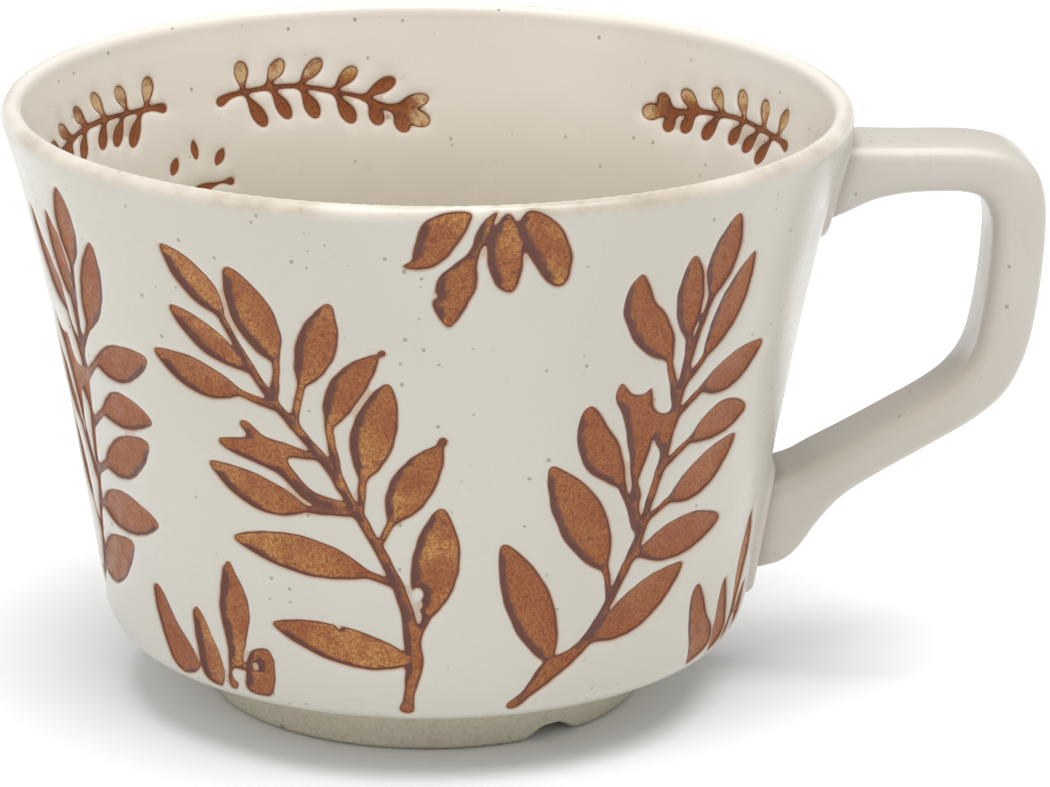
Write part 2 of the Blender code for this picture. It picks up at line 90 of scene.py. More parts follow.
def bezier(start, pull_start, pull_end, end, steps):
    t = np.linspace(0, 1, steps + 1)[1:, None]
    a, b, c, d = (np.array(p, float) for p in (start, pull_start, pull_end, end))
    return (1 - t) ** 3 * a + 3 * t * (1 - t) ** 2 * b + 3 * t * t * (1 - t) * c + t ** 3 * d


def arc(centre, radius, start, end, steps):
    turn = np.radians(np.linspace(start, end, steps + 1))
    return np.stack([centre[0] + radius * np.cos(turn), centre[1] + radius * np.sin(turn)], -1)


class Wall:
    """A turned surface addressed by its arc length and by an offset along its normal.

    Its flat drawing starts at an angle of turn."""

    def __init__(self, points, turn=0.0):
        self.turn = turn
        self.points = np.array(points, float)
        self.lengths = run_lengths(self.points)
        along = directions(self.points)
        self.normals = np.stack([along[:, 1], -along[:, 0]], -1)

    def at(self, v, offset):
        column = [np.interp(v, self.lengths, self.points[:, k]) for k in (0, 1)]
        normal = [np.interp(v, self.lengths, self.normals[:, k]) for k in (0, 1)]
        return column[0] + normal[0] * offset, column[1] + normal[1] * offset

    def total(self):
        return self.lengths[-1]


def outside_wall():
    """The glazed outside, from the foot junction round the shoulder, up and over the lip."""
    start = np.array((31.0, UNDERSIDE_HEIGHT))
    slope = np.array((cos(radians(20)), sin(radians(20))))
    shoulder = np.array((44.15, 14.5))
    up = np.array((0.165, 1.0)) / np.hypot(0.165, 1.0)
    turn = start + slope * 9.0
    points = [start + slope * 9.0 * k / 12 for k in range(13)]
    points += list(bezier(turn, turn + slope * 3.2, shoulder - up * 3.6, shoulder, 30))
    points += list(bezier(shoulder, shoulder + up * 22, (51.3, 62.0), (57.0, 80.3), 120))
    return points


def inside_wall():
    """The glazed inside, from the lip down to the middle of the floor."""
    rim, corner, floor = (54.2, 80.6), (40.6, 17.5), (33.0, FLOOR_HEIGHT)
    points = list(bezier(rim, (49.6, 62.0), (44.3, 36.0), corner, 120))
    points += list(bezier(corner, (39.6, 12.5), (37.5, FLOOR_HEIGHT), floor, 30))
    points += [np.array((33.0 * (1 - k / 20), FLOOR_HEIGHT)) for k in range(1, 21)]
    return points


OUTER_POINTS = outside_wall()
OUTER_LENGTH = Wall(OUTER_POINTS).total()
LIP_POINTS = list(arc(LIP_CENTRE, LIP_RADIUS, -12, 188, 40))
OUTSIDE = Wall(OUTER_POINTS + LIP_POINTS + inside_wall()[:6])
INSIDE = Wall(inside_wall()[5:], FERN_TURN / PATTERN_RADIUS)
COAT_TOP = OUTSIDE.total()


# ---------------------------------------------------------------- the leaf drawing

def leaf(base, tip, left, right, bend=0.0, belly=0.9, steps=16):
    """Outline of a leaf with its own half width on each side of its bent midrib."""
    base, tip = np.array(base, float), np.array(tip, float)
    along = tip - base
    length = np.hypot(*along)
    along /= length
    side = np.array((-along[1], along[0]))
    shares = 0.5 - 0.5 * np.cos(pi * np.linspace(0, 1, steps + 1))
    midrib = base + along * length * shares[:, None] + side * (bend * np.sin(pi * shares))[:, None]
    swell = np.sin(pi * shares ** belly) ** 0.72
    rights = midrib - side * (right * swell)[:, None]
    lefts = midrib + side * (left * swell)[:, None]
    return np.concatenate([rights, lefts[-2:0:-1]])


def smooth_line(points, steps=6):
    """Catmull-Rom curve through points of any dimension."""
    p = np.array(points, float)
    p = np.concatenate([[2 * p[0] - p[1]], p, [2 * p[-1] - p[-2]]])
    t = (np.arange(steps) / steps)[:, None]
    line = []
    for a, b, c, d in zip(p, p[1:], p[2:], p[3:]):
        line.append(0.5 * (2 * b + (c - a) * t + (2 * a - 5 * b + 4 * c - d) * t ** 2
                           + (3 * b - a - 3 * c + d) * t ** 3))
    return np.concatenate(line + [p[-2:-1]])


def stem(points, half_widths):
    """Outline of a stem that runs smoothly through points."""
    line = smooth_line([(*p, w) for p, w in zip(points, half_widths)])
    along = directions(line[:, :2])
    side = np.stack([-along[:, 1], along[:, 0]], -1) * line[:, 2:]
    cap = along[-1] * line[-1, 2] * 0.7
    foot = -along[0] * line[0, 2] * 0.7
    rights, lefts = line[:, :2] - side, line[:, :2] + side
    return softened(np.concatenate([[line[0, :2] + foot], rights, [line[-1, :2] + cap], lefts[::-1]]))


# Leaves: (root on the stem or None, blade base, tip, left and right half width, bend)
LEANING_SPRIG = {
    "stem": [(-90, 12.7), (-89.4, 16.5), (-88.8, 20.5), (-89.2, 25), (-90, 29), (-91.5, 33),
             (-93.6, 37.2), (-96, 41.6), (-98.5, 46), (-101, 50), (-104, 53.6), (-107.5, 58),
             (-110.5, 63.2), (-112.8, 68), (-113.8, 70.5)],
    "stem_widths": [1, 0.75, 1.35, 1.15, 0.85, 0.75, 0.7, 0.7, 0.65, 0.65, 0.6, 0.55, 0.55,
                    0.5, 0.5],
    "leaves": [
        (None, (-112.6, 68.6), (-120.6, 77.6), 1.7, 2.3, 0.2),
        ((-109.5, 61.5), (-110.8, 61.6), (-120.9, 68.8), 1.9, 1.6, 0),
        ((-106.6, 56.4), (-111.6, 57.8), (-124.9, 61.6), 2.8, 1.6, 0),
        ((-106.9, 57.5), (-106.1, 63), (-111.4, 76), 2.7, 2.6, 0),
        ((-104.6, 54), (-103, 59.8), (-98.7, 72.3), 2, 2.4, 0),
        ((-98.4, 45.5), (-99.7, 54.2), (-93, 65.3), 2.4, 1.4, 0.4),
        ((-95.9, 42.5), (-95.5, 47.2), (-91.9, 61.3), 2.7, 2.5, 0),
        ((-93.4, 38), (-91.9, 41), (-85.1, 52.6), 2.8, 2.3, 0),
        ((-88.8, 24), (-87, 27.4), (-85.1, 43.5), 2.8, 3.3, 0),
        ((-96.2, 42.2), (-103.4, 42.2), (-117.9, 46.9), 2.9, 1.5, 0),
        ((-91.6, 32.2), (-95.2, 33.4), (-115.2, 36.5), 1.9, 3.1, 0),
        (None, (-88.8, 20.7), (-110.3, 24.8), 2.4, 2.6, 0),
    ],
}
UPRIGHT_SPRIG = {
    "stem": [(-74, 13.1), (-71.6, 15.4), (-68.6, 18.4), (-64.2, 20.8), (-61.5, 24), (-59.5, 27.5),
             (-57.5, 31.6), (-55.6, 36), (-54.8, 40), (-53.8, 44), (-53, 48), (-52.7, 52),
             (-52, 56), (-51.5, 60), (-52, 65)],
    "stem_widths": [1.1, 0.8, 1.6, 0.95, 0.75, 0.75, 0.75, 0.8, 0.7, 0.7, 0.75, 0.9, 0.8, 0.7,
                    0.5],
    "leaves": [
        (None, (-68.2, 19.6), (-76.7, 38), 3, 3, 0),
        ((-59.6, 28), (-60.8, 32.2), (-70.8, 48.6), 2.9, 3.3, 0),
        (None, (-52.1, 63.8), (-53.6, 76.4), 2, 1.8, 0),
        ((-51.4, 60.5), (-49.3, 69.3), (-47.6, 81.2), 2.1, 2.4, 0),
        ((-51.7, 57), (-48.4, 60.6), (-42.5, 74.5), 1.8, 2.7, 0),
        ((-52.6, 52.2), (-48, 55.8), (-35.2, 59.6), 1.9, 2.7, 0),
        ((-53.2, 45.6), (-48.6, 48.6), (-36.2, 50.2), 2.9, 1.6, 0.3),
        ((-55.1, 38.2), (-50.9, 40.5), (-37.8, 47), 2, 3.1, 0),
        ((-56.9, 33.2), (-55.4, 33.5), (-38.2, 34.9), 3, 2.4, 0),
        ((-62.6, 22.3), (-61.6, 22.2), (-45.8, 30.3), 2.6, 3.2, 0),
    ],
}
# One leaf of the leaning sprig has two roots and a spur
FORKED_LEAF = [
    (-115.5, 50.5), (-111.5, 51.6), (-112.1, 53.4), (-111, 53.8), (-108.6, 52), (-105, 51.2),
    (-101.2, 50), (-102.5, 49.4), (-105.5, 49.2), (-104.5, 47), (-102, 44.8), (-97.5, 43.6),
    (-97.6, 42.7), (-103, 43.2), (-107.4, 46.9), (-114, 49),
]
# Three leaves of the upright sprig: two plain ones, and one with two tips joined to the stem
SHOULDER_LEAF = [
    (-60.6, 74.7), (-58.5, 70.7), (-56.5, 68.3), (-54.6, 65), (-54.4, 61.5), (-56, 61.7), (-58.6, 63),
    (-61, 65.7), (-62.6, 69), (-62.7, 72), (-61.9, 74),
]
ROUND_LEAF = [
    (-59.4, 43.7), (-64.5, 46.5), (-66.8, 50), (-67.2, 54.5), (-65.7, 56.6), (-63.5, 54), (-60.5, 49.5),
    (-59.3, 45.5),
]
WEBBED_LEAF = [
    (-57.7, 42.1), (-58.7, 47), (-60.5, 53.6), (-62.2, 57), (-61.7, 59.3), (-60, 57.5), (-58, 57.1),
    (-56.9, 57.8), (-56.2, 55.1), (-54.8, 53.8), (-52.6, 53.4), (-51.7, 52.2), (-53.2, 48.2),
    (-54.3, 48.8), (-55.5, 50.1), (-56, 48), (-57, 44.6), (-56.4, 42),
]
SHOULDER_LEAF_STALK = [(-54.8, 62.6), (-54.6, 61.2), (-54.1, 59.6), (-53.3, 57.5), (-52.6, 55)]
ROUND_LEAF_STALK = [(-56.4, 37.6), (-57.6, 40.4), (-59.8, 44.2)]
WEBBED_LEAF_STALK = [(-56, 37), (-56.9, 40.4), (-57.3, 43.6)]
TUFT_BLADES = [
    [(-132, 25.7), (-133.2, 25), (-133.3, 22), (-132, 17), (-130.6, 13.2), (-129.3, 12.6),
     (-125.1, 14.8), (-125.4, 17.5), (-128.1, 20.5), (-130.6, 24.5)],
    [(-123.6, 24.4), (-124.6, 23.2), (-124.6, 18), (-124.1, 13.5), (-122.6, 12.3), (-121, 12.8),
     (-119.6, 16), (-121, 20.2), (-122.9, 23.8)],
    [(-116.3, 32.6), (-117.1, 32), (-117.8, 31), (-119, 25), (-118.3, 19), (-119.4, 13.5),
     (-118.7, 12.6), (-117.6, 13.8), (-117.2, 16), (-116.1, 17.2), (-115.4, 19.6), (-113.7, 25.5),
     (-114.4, 29), (-115.5, 31)],
    [(-115.3, 17.6), (-114.3, 19.7), (-112.2, 20.6), (-110.8, 20.2), (-110.3, 17), (-111.7, 13.2),
     (-115, 12.5), (-116, 14), (-115.4, 16.5)],
]
TUFT_BRIDGE = [(-117.2, 16.9), (-116.3, 17.1), (-115, 17.4)]
# Petals hang from the lip: each is a closed outline
HANGING_PETALS = [
    [(-90, 78), (-89, 79), (-88.5, 81.5), (-87.5, 84.5), (-85, 86), (-82.6, 85.9), (-82.6, 84),
     (-84.5, 80), (-86.5, 77.9), (-88.5, 77.5)],
    [(-79.5, 86), (-81.4, 84), (-82.5, 80), (-85.5, 77), (-86.2, 75), (-86.5, 72.5), (-85.3, 69.9),
     (-84, 69.7), (-81.5, 75), (-81.5, 79), (-80, 84)],
    [(-78.4, 85.7), (-80, 83), (-80.5, 79.5), (-79.4, 75.4), (-77.4, 74), (-76.5, 76), (-76.4, 81),
     (-77.4, 84)],
    [(-75.8, 86), (-77, 84.5), (-77, 82.5), (-75, 78), (-73, 75.2), (-71.4, 74.5), (-70.6, 76),
     (-70.5, 79), (-71.6, 82), (-73.8, 85)],
]
# Small round ends on a few tips, and drops of glaze that sit on the stain
NIBS = [(-85.1, 52.9, 0.6), (-92.6, 65.4, 0.5), (-90, 13.2, 0.9)]
GLAZE_DROPS = [(-88.3, 30.8, 0.85), (-88.3, 29.3, 0.7), (-86.4, 73.8, 0.42), (-99.7, 25.5, 0.35),
               (-117.2, 15.55, 1), (-116.6, 15.65, 0.95), (-113.6, 17.7, 0.5)]


def closed_curve(points, steps=4):
    """Smooth closed outline through points."""
    line = smooth_line([points[-1], *points, points[0], points[1]], steps)
    return line[steps:-steps - 1][:len(points) * steps]


def softened(outline, step=0.25, passes=2):
    """Closed outline with its sharp ends rubbed round."""
    loop = np.vstack([outline, outline[:1]])
    whole = run_lengths(loop)[-1]
    points = spread(loop, np.linspace(0, whole, int(whole / step), endpoint=False))
    for _ in range(passes):
        points = np.mean([np.roll(points, k, axis=0) for k in range(-2, 3)], axis=0)
    return points


def disc(u, v, radius):
    return arc((u, v), radius, 0, 360, 14)[:-1]


# The stain spread past the drawn edge of a sprig's leaf by this much
LEAF_SPREAD = 0.3


def sprig_outlines(sprig):
    outlines = [stem(sprig["stem"], sprig["stem_widths"])]
    for root, base, tip, left, right, bend in sprig["leaves"]:
        outlines.append(softened(leaf(base, tip, left + LEAF_SPREAD, right + LEAF_SPREAD, bend)))
        if root:
            into = np.array(base) + 0.2 * (np.array(tip) - np.array(base))
            outlines.append(stem((root, base, into), (0.55, 0.5, 0.7)))
    return outlines


def outside_drawing():
    """The outlines that make up each CAD leaf node: {node: [outline, ...]}."""
    drawing = {}
    for number in range(3):
        shift = np.array((PATTERN_PHASE - PATTERN_REPEAT * number, 0))
        label = "_%d" % (number + 1)
        leaning = sprig_outlines(LEANING_SPRIG) + [closed_curve(FORKED_LEAF)]
        upright = sprig_outlines(UPRIGHT_SPRIG) + [
            closed_curve(SHOULDER_LEAF), closed_curve(ROUND_LEAF), closed_curve(WEBBED_LEAF),
            stem(SHOULDER_LEAF_STALK, (0.5, 0.45, 0.5, 0.55, 0.6)),
            stem(ROUND_LEAF_STALK, (0.7, 0.6, 0.5)),
            stem(WEBBED_LEAF_STALK, (0.7, 0.65, 0.6))]
        drawing["leaning_sprig" + label] = [outline + shift for outline in leaning]
        drawing["upright_sprig" + label] = [outline + shift for outline in upright]
        drawing["leaning_sprig" + label] += [disc(*nib) + shift for nib in NIBS]
        for k, petal in enumerate(HANGING_PETALS):
            drawing["hanging_petal%s_%d" % (label, k + 1)] = [closed_curve(petal) + shift]
        tuft_shift = shift + np.array((PATTERN_REPEAT, 0))
        for k, blade in enumerate(TUFT_BLADES):
            drawing["tuft_blade%s_%d" % (label, k + 1)] = [closed_curve(blade) + tuft_shift]
        drawing["tuft_blade%s_4" % label].append(stem(TUFT_BRIDGE, (0.4, 0.4, 0.4)) + tuft_shift)
    return drawing


# ---------------------------------------------------------------- distance field of a drawing

CELL = 0.2
REACH = 2.4


def signed_distance(outline, us, vs):
    """Distance from each point of a grid to a closed outline, negative inside."""
    u, v = np.meshgrid(us, vs)
    start, end = outline, np.roll(outline, -1, axis=0)
    best = np.full(u.shape, 1e9)
    inside = np.zeros(u.shape, bool)
    for (au, av), (bu, bv) in zip(start, end):
        du, dv = bu - au, bv - av
        size = du * du + dv * dv
        if size < 1e-12:
            continue
        t = np.clip(((u - au) * du + (v - av) * dv) / size, 0, 1)
        best = np.minimum(best, (u - au - t * du) ** 2 + (v - av - t * dv) ** 2)
        if av != bv:
            crosses = ((av > v) != (bv > v)) & (u < du * (v - av) / dv + au)
            inside ^= crosses
    return np.where(inside, -1, 1) * np.sqrt(best)


def soft_min(a, b, width):
    share = np.clip(0.5 + 0.5 * (b - a) / width, 0, 1)
    return b + (a - b) * share - width * share * (1 - share)


class Field:
    """Signed distance to a drawing on an unrolled wall, and which node is nearest."""

    def __init__(self, drawing, top, wobble=0.10, drops=()):
        self.us = np.arange(round(CIRCUMFERENCE / CELL) + 1) * CIRCUMFERENCE
        self.us = self.us / round(CIRCUMFERENCE / CELL) + SEAM - CIRCUMFERENCE
        self.vs = np.arange(round(top / CELL) + 1) * CELL
        self.names = sorted(drawing)
        shape = (len(self.vs), len(self.us))
        self.distance = np.full(shape, REACH)
        self.owner = np.full(shape, -1)
        for number, name in enumerate(self.names):
            for outline in drawing[name]:
                low, high = outline.min(0) - REACH, outline.max(0) + REACH
                i = slice(*np.searchsorted(self.us, (low[0], high[0])))
                j = slice(*np.searchsorted(self.vs, (low[1], high[1])))
                near = signed_distance(outline, self.us[i], self.vs[j])
                old = self.distance[j, i]
                closer = near < old
                self.owner[j, i] = np.where(closer, number, self.owner[j, i])
                self.distance[j, i] = np.minimum(soft_min(old, near, 0.7), REACH)
        u, v = np.meshgrid(self.us, self.vs)
        angle = u / PATTERN_RADIUS
        wave = np.sin(16 * angle + 0.43 * v) + np.sin(41 * angle - 0.9 * v + 1.3)
        wave += np.sin(1.7 * v + 23 * angle + 0.5) + 0.7 * np.sin(97 * angle + 2.3 * v)
        self.distance += wobble * wave / 3
        for drop_u, drop_v, radius in drops:
            away = np.hypot(u - drop_u, (v - drop_v) * 0.85)
            self.distance = np.maximum(self.distance, radius - away)
        self.distance = np.minimum(self.distance, REACH)

    def read(self, grid, u, v):
        """Bilinear value of a grid at flat points."""
        x = np.clip((u - self.us[0]) / (self.us[1] - self.us[0]), 0, len(self.us) - 1.001)
        y = np.clip(v / CELL, 0, len(self.vs) - 1.001)
        i, j = x.astype(int), y.astype(int)
        x, y = x - i, y - j
        return ((grid[j, i] * (1 - x) + grid[j, i + 1] * x) * (1 - y)
                + (grid[j + 1, i] * (1 - x) + grid[j + 1, i + 1] * x) * y)

    def contours(self, level, spacing):
        """Closed lines where the distance has a value, with points about spacing apart."""
        grid = self.distance - level
        grid = np.where(np.abs(grid) < 1e-6, 1e-6, grid)
        links = {}
        inside = grid < 0
        mixed = (inside[:-1, :-1] != inside[1:, 1:]) | (inside[:-1, 1:] != inside[1:, :-1])
        mixed |= inside[:-1, :-1] != inside[:-1, 1:]
        for j, i in zip(*np.nonzero(mixed)):
            corners = ((j, i), (j, i + 1), (j + 1, i + 1), (j + 1, i))
            cut = [k for k in range(4)
                   if inside[corners[k]] != inside[corners[(k + 1) % 4]]]
            sides = [frozenset((corners[k], corners[(k + 1) % 4])) for k in cut]
            pairs = [(0, 1)] if len(sides) == 2 else [(0, 1), (2, 3)]
            if len(sides) == 4 and inside[corners[0]] == inside[corners[2]] and not inside[corners[0]]:
                pairs = [(1, 2), (3, 0)]
            for a, b in pairs:
                links.setdefault(sides[a], []).append(sides[b])
                links.setdefault(sides[b], []).append(sides[a])
        lines = []
        while links:
            start = next(iter(links))
            chain, here = [start], start
            while links.get(here):
                there = links[here].pop()
                if not links[here]:
                    del links[here]
                if here in links.get(there, []):
                    links[there].remove(here)
                if there == start:
                    links.pop(start, None)
                    break
                chain.append(there)
                here = there
            else:
                links.pop(here, None)
            lines.append(self._resampled(chain, grid, spacing))
        return [line for line in lines if line is not None]

    def _resampled(self, chain, grid, spacing):
        points = []
        for side in chain:
            (ja, ia), (jb, ib) = sorted(side)
            a, b = grid[ja, ia], grid[jb, ib]
            t = a / (a - b)
            points.append((self.us[ia] + t * (self.us[ib] - self.us[ia]),
                           self.vs[ja] + t * (self.vs[jb] - self.vs[ja])))
        points = np.array(points + points[:1])
        whole = run_lengths(points)[-1]
        count = int(whole / spacing)
        return spread(points, np.linspace(0, whole, count + 1)[:-1]) if count >= 6 else None


# ---------------------------------------------------------------- meshes from the flat drawing

def pairs_round(triangle):
    a, b, c = triangle
    return (a, b), (b, c), (c, a)


def flat_mesh(field, low_v, high_v, rows, columns, ring_levels, crisp=0.4):
    """Triangulate an unrolled wall so that the drawing's outlines are edges of the mesh.

    Returns points, triangles, and for each triangle the number of its region; regions
    end at the outlines."""
    points, edges = [], []
    for loop in field.contours(0.0, crisp):
        first = len(points)
        points.extend(map(tuple, loop))
        edges += [(first + k, first + (k + 1) % len(loop)) for k in range(len(loop))]
    for level, spacing in ring_levels:
        for loop in field.contours(level, spacing):
            points.extend((u, v) for u, v in loop if low_v + 0.15 < v < high_v - 0.15)
    us = SEAM - CIRCUMFERENCE * np.arange(columns + 1) / columns
    vs = np.concatenate([[low_v], rows, [high_v]])
    far = max(level for level, _ in ring_levels) + 0.5
    deep = min(level for level, _ in ring_levels) - 0.4
    for j, v in enumerate(vs):
        for i, u in enumerate(us):
            border = i in (0, columns) or j in (0, len(vs) - 1)
            slip = 0.0 if border else (j % 2) * 0.5 * CIRCUMFERENCE / columns
            gap = field.read(field.distance, np.array(u - slip), np.array(v))
            if border or gap > far or gap < deep:
                if not (i == columns - 1 and slip):
                    points.append((u - slip, v))
    verts, sides, triangles, _, sources, _ = delaunay_2d_cdt(
        [Vector(p) for p in points], edges, [], 0, 1e-5)
    walls = {frozenset(side) for side, source in zip(sides, sources) if source}
    triangles = np.array(triangles)
    return np.array([tuple(p) for p in verts]), triangles, region_numbers(triangles, walls)


def region_numbers(triangles, walls):
    """Number the regions of triangles that the outlines separate."""
    by_edge = {}
    triangles = triangles.tolist()
    for number, three in enumerate(triangles):
        for pair in pairs_round(three):
            by_edge.setdefault(frozenset(pair), []).append(number)
    region = np.full(len(triangles), -1)
    count = 0
    for seed in range(len(triangles)):
        if region[seed] >= 0:
            continue
        region[seed] = count
        front = [seed]
        while front:
            for side in map(frozenset, pairs_round(triangles[front.pop()])):
                for other in () if side in walls else by_edge[side]:
                    if region[other] < 0:
                        region[other] = count
                        front.append(other)
        count += 1
    return region


def shell(name, flat, triangles, wall, top, bottom, attributes, skin):
    """Closed layer on a turned wall: top and bottom are offsets at the flat points."""
    used, corner = np.unique(triangles, return_inverse=True)
    triangles = corner.reshape(-1, 3)
    u, v = flat[used, 0], flat[used, 1]
    key = np.round(np.stack([(u - SEAM) % CIRCUMFERENCE, v], -1), 3)
    key[np.abs(key[:, 0] - round(CIRCUMFERENCE, 3)) < 2e-3, 0] = 0.0
    _, first, welded = np.unique(key, axis=0, return_index=True, return_inverse=True)
    triangles = welded.reshape(-1)[triangles]
    used, u, v = used[first], u[first], v[first]
    whole = (triangles[:, 0] != triangles[:, 1]) & (triangles[:, 1] != triangles[:, 2])
    triangles = triangles[whole & (triangles[:, 2] != triangles[:, 0])]
    layers = []
    for offset in (top, bottom):
        radius, height = wall.at(v, offset[used] if np.ndim(offset) else offset)
        layers.append(place(radius, u / PATTERN_RADIUS + wall.turn, height))
    count = len(used)
    borders = dict.fromkeys(pair for three in triangles.tolist() for pair in pairs_round(three))
    sides = [(a, a + count, b + count, b) for a, b in borders if (b, a) not in borders]
    faces = triangles.tolist() + (triangles[:, ::-1] + count).tolist() + sides
    made = add_mesh(name, np.concatenate(layers), faces, skin)
    for label, values in attributes.items():
        set_attribute(made, label, np.tile(values[used], 2))
    return made


def add_object(name, data):
    made = bpy.data.objects.new(name, data)
    bpy.context.scene.collection.objects.link(made)
    return made


def set_attribute(made, name, values):
    layer = made.data.attributes.new(name, "FLOAT", "POINT")
    layer.data.foreach_set("value", values.astype(np.float32))


def add_mesh(name, verts, faces, skin, sharp=55):
    mesh = bpy.data.meshes.new(name)
    mesh.from_pydata([tuple(map(float, p)) for p in verts], [], faces)
    maker = bmesh.new()
    maker.from_mesh(mesh)
    bmesh.ops.recalc_face_normals(maker, faces=maker.faces)
    maker.to_mesh(mesh)
    maker.free()
    mesh.validate()
    mesh.shade_smooth()
    mesh.set_sharp_from_angle(angle=radians(sharp))
    mesh.materials.append(skin)
    return add_object(name, mesh)


def ring_faces(rings, count, closed):
    """Four-sided faces between rings of count points, back to the first ring when closed."""
    faces = []
    for k in range(rings if closed else rings - 1):
        low, high = k * count, (k + 1) % rings * count
        for n in range(count):
            m = (n + 1) % count
            faces.append((low + n, low + m, high + m, high + n))
    return faces


def turned(name, profile, skin, segments=240):
    """Solid of revolution about the cup's axis; a profile that starts on the axis ends on it."""
    profile = np.array(profile, float)
    angles = np.arange(segments) * tau / segments
    verts, rows = [], []
    for r, z in profile:
        if r < 1e-6:
            rows.append([len(verts)] * segments)
            verts.append(place(np.array(0.0), 0.0, np.array(z)))
        else:
            rows.append(list(range(len(verts), len(verts) + segments)))
            verts.extend(place(np.full(segments, r), angles, np.full(segments, z)))
    faces = []
    pairs = list(zip(rows, rows[1:]))
    if profile[0][0] > 1e-6:
        pairs.append((rows[-1], rows[0]))
    for a, b in pairs:
        for k in range(segments):
            n = (k + 1) % segments
            face = list(dict.fromkeys((a[k], a[n], b[n], b[k])))
            if len(face) > 2:
                faces.append(face)
    return add_mesh(name, verts, faces, skin)


# ---------------------------------------------------------------- materials

class Shader:
    """A Principled material with short helpers for its procedural nodes."""

    def __init__(self, name, roughness=0.4, **constants):
        self.material = bpy.data.materials.new(name)
        self.material.use_nodes = True
        self.tree = self.material.node_tree
        self.bsdf = self.tree.nodes["Principled BSDF"]
        self.bsdf.inputs["Roughness"].default_value = roughness
        for label, value in constants.items():
            self.bsdf.inputs[label.replace("_", " ")].default_value = value
        self.place = self.tree.nodes.new("ShaderNodeTexCoord").outputs["Object"]

    def node(self, kind, inputs=(), **settings):
        made = self.tree.nodes.new(kind)
        for label, value in settings.items():
            setattr(made, label, value)
        for label, value in dict(inputs).items():
            if isinstance(value, bpy.types.NodeSocket):
                self.tree.links.new(value, made.inputs[label])
            else:
                made.inputs[label].default_value = value
        return made

    def noise(self, scale, detail=2.0, rough=0.5, stretch=(1, 1, 1), offset=(0, 0, 0)):
        mapped = self.node("ShaderNodeMapping", {"Vector": self.place, "Scale": stretch,
                                                 "Location": offset}).outputs[0]
        return self.node("ShaderNodeTexNoise", {"Vector": mapped, "Scale": scale,
                                                "Detail": detail, "Roughness": rough}).outputs["Fac"]

    def spots(self, scale, size, rarity=0.5, offset=(0, 0, 0)):
        """Round spots of uneven size, one at most for each cell of a Voronoi pattern."""
        mapped = self.node("ShaderNodeMapping", {"Vector": self.place, "Location": offset}).outputs[0]
        cells = self.node("ShaderNodeTexVoronoi", {"Vector": mapped, "Scale": scale})
        luck = self.node("ShaderNodeSeparateColor", {"Color": cells.outputs["Color"]}).outputs[0]
        radius = self.ramp(luck, ((rarity, 0.0), (1.0, size)))
        edge = self.math("SUBTRACT", radius, cells.outputs["Distance"])
        return self.ramp(self.math("DIVIDE", edge, size * 0.35), ((0.0, 0.0), (1.0, 1.0)))

    def math(self, operation, a, b):
        return self.node("ShaderNodeMath", {0: a, 1: b}, operation=operation).outputs[0]

    def times(self, a, b):
        return self.math("MULTIPLY", a, b)

    def ramp(self, value, stops):
        """Smooth change from one value to another between two places."""
        (low, start), (high, end) = stops
        made = self.node("ShaderNodeMapRange", {"Value": value, "From Min": low, "From Max": high,
                                                "To Min": start, "To Max": end})
        made.interpolation_type = "SMOOTHSTEP"
        return made.outputs[0]

    def mix(self, share, a, b):
        """Colour a turning into colour b with the share."""
        return self.node("ShaderNodeMix", {0: share, 6: a, 7: b}, data_type="RGBA").outputs[2]

    def attribute(self, name):
        return self.node("ShaderNodeAttribute", attribute_name=name).outputs["Fac"]

    def finish(self, colour, bump=None, roughness=None):
        """Join the sockets to the shader; bump is (height, strength, distance)."""
        self.tree.links.new(colour, self.bsdf.inputs["Base Color"])
        if roughness:
            self.tree.links.new(roughness, self.bsdf.inputs["Roughness"])
        if bump:
            made = self.node("ShaderNodeBump", zip(("Height", "Strength", "Distance"), bump))
            self.tree.links.new(made.outputs[0], self.bsdf.inputs["Normal"])
        return self.material


LINER_BASE = (0.80, 0.755, 0.69, 1)
LINER_WARM = (0.77, 0.715, 0.635, 1)


def specks(shader, colour):
    """Sparse grey-green specks and fainter tan ones in the glaze."""
    green = shader.times(shader.spots(430, 0.16, 0.16), 0.66)
    colour = shader.mix(green, colour, (0.20, 0.19, 0.115, 1))
    faint = shader.times(shader.spots(190, 0.08, 0.25, (0.31, 0.12, 0.47)), 0.45)
    return shader.mix(faint, colour, (0.34, 0.27, 0.18, 1))


def glaze_colour(shader, base, warm):
    """Cream glaze with slow drifts of tone and specks."""
    drift = shader.ramp(shader.noise(28, 3.0, 0.5, (1, 1, 0.45)), ((0.35, 0.0), (0.70, 1.0)))
    return specks(shader, shader.mix(drift, base, warm))


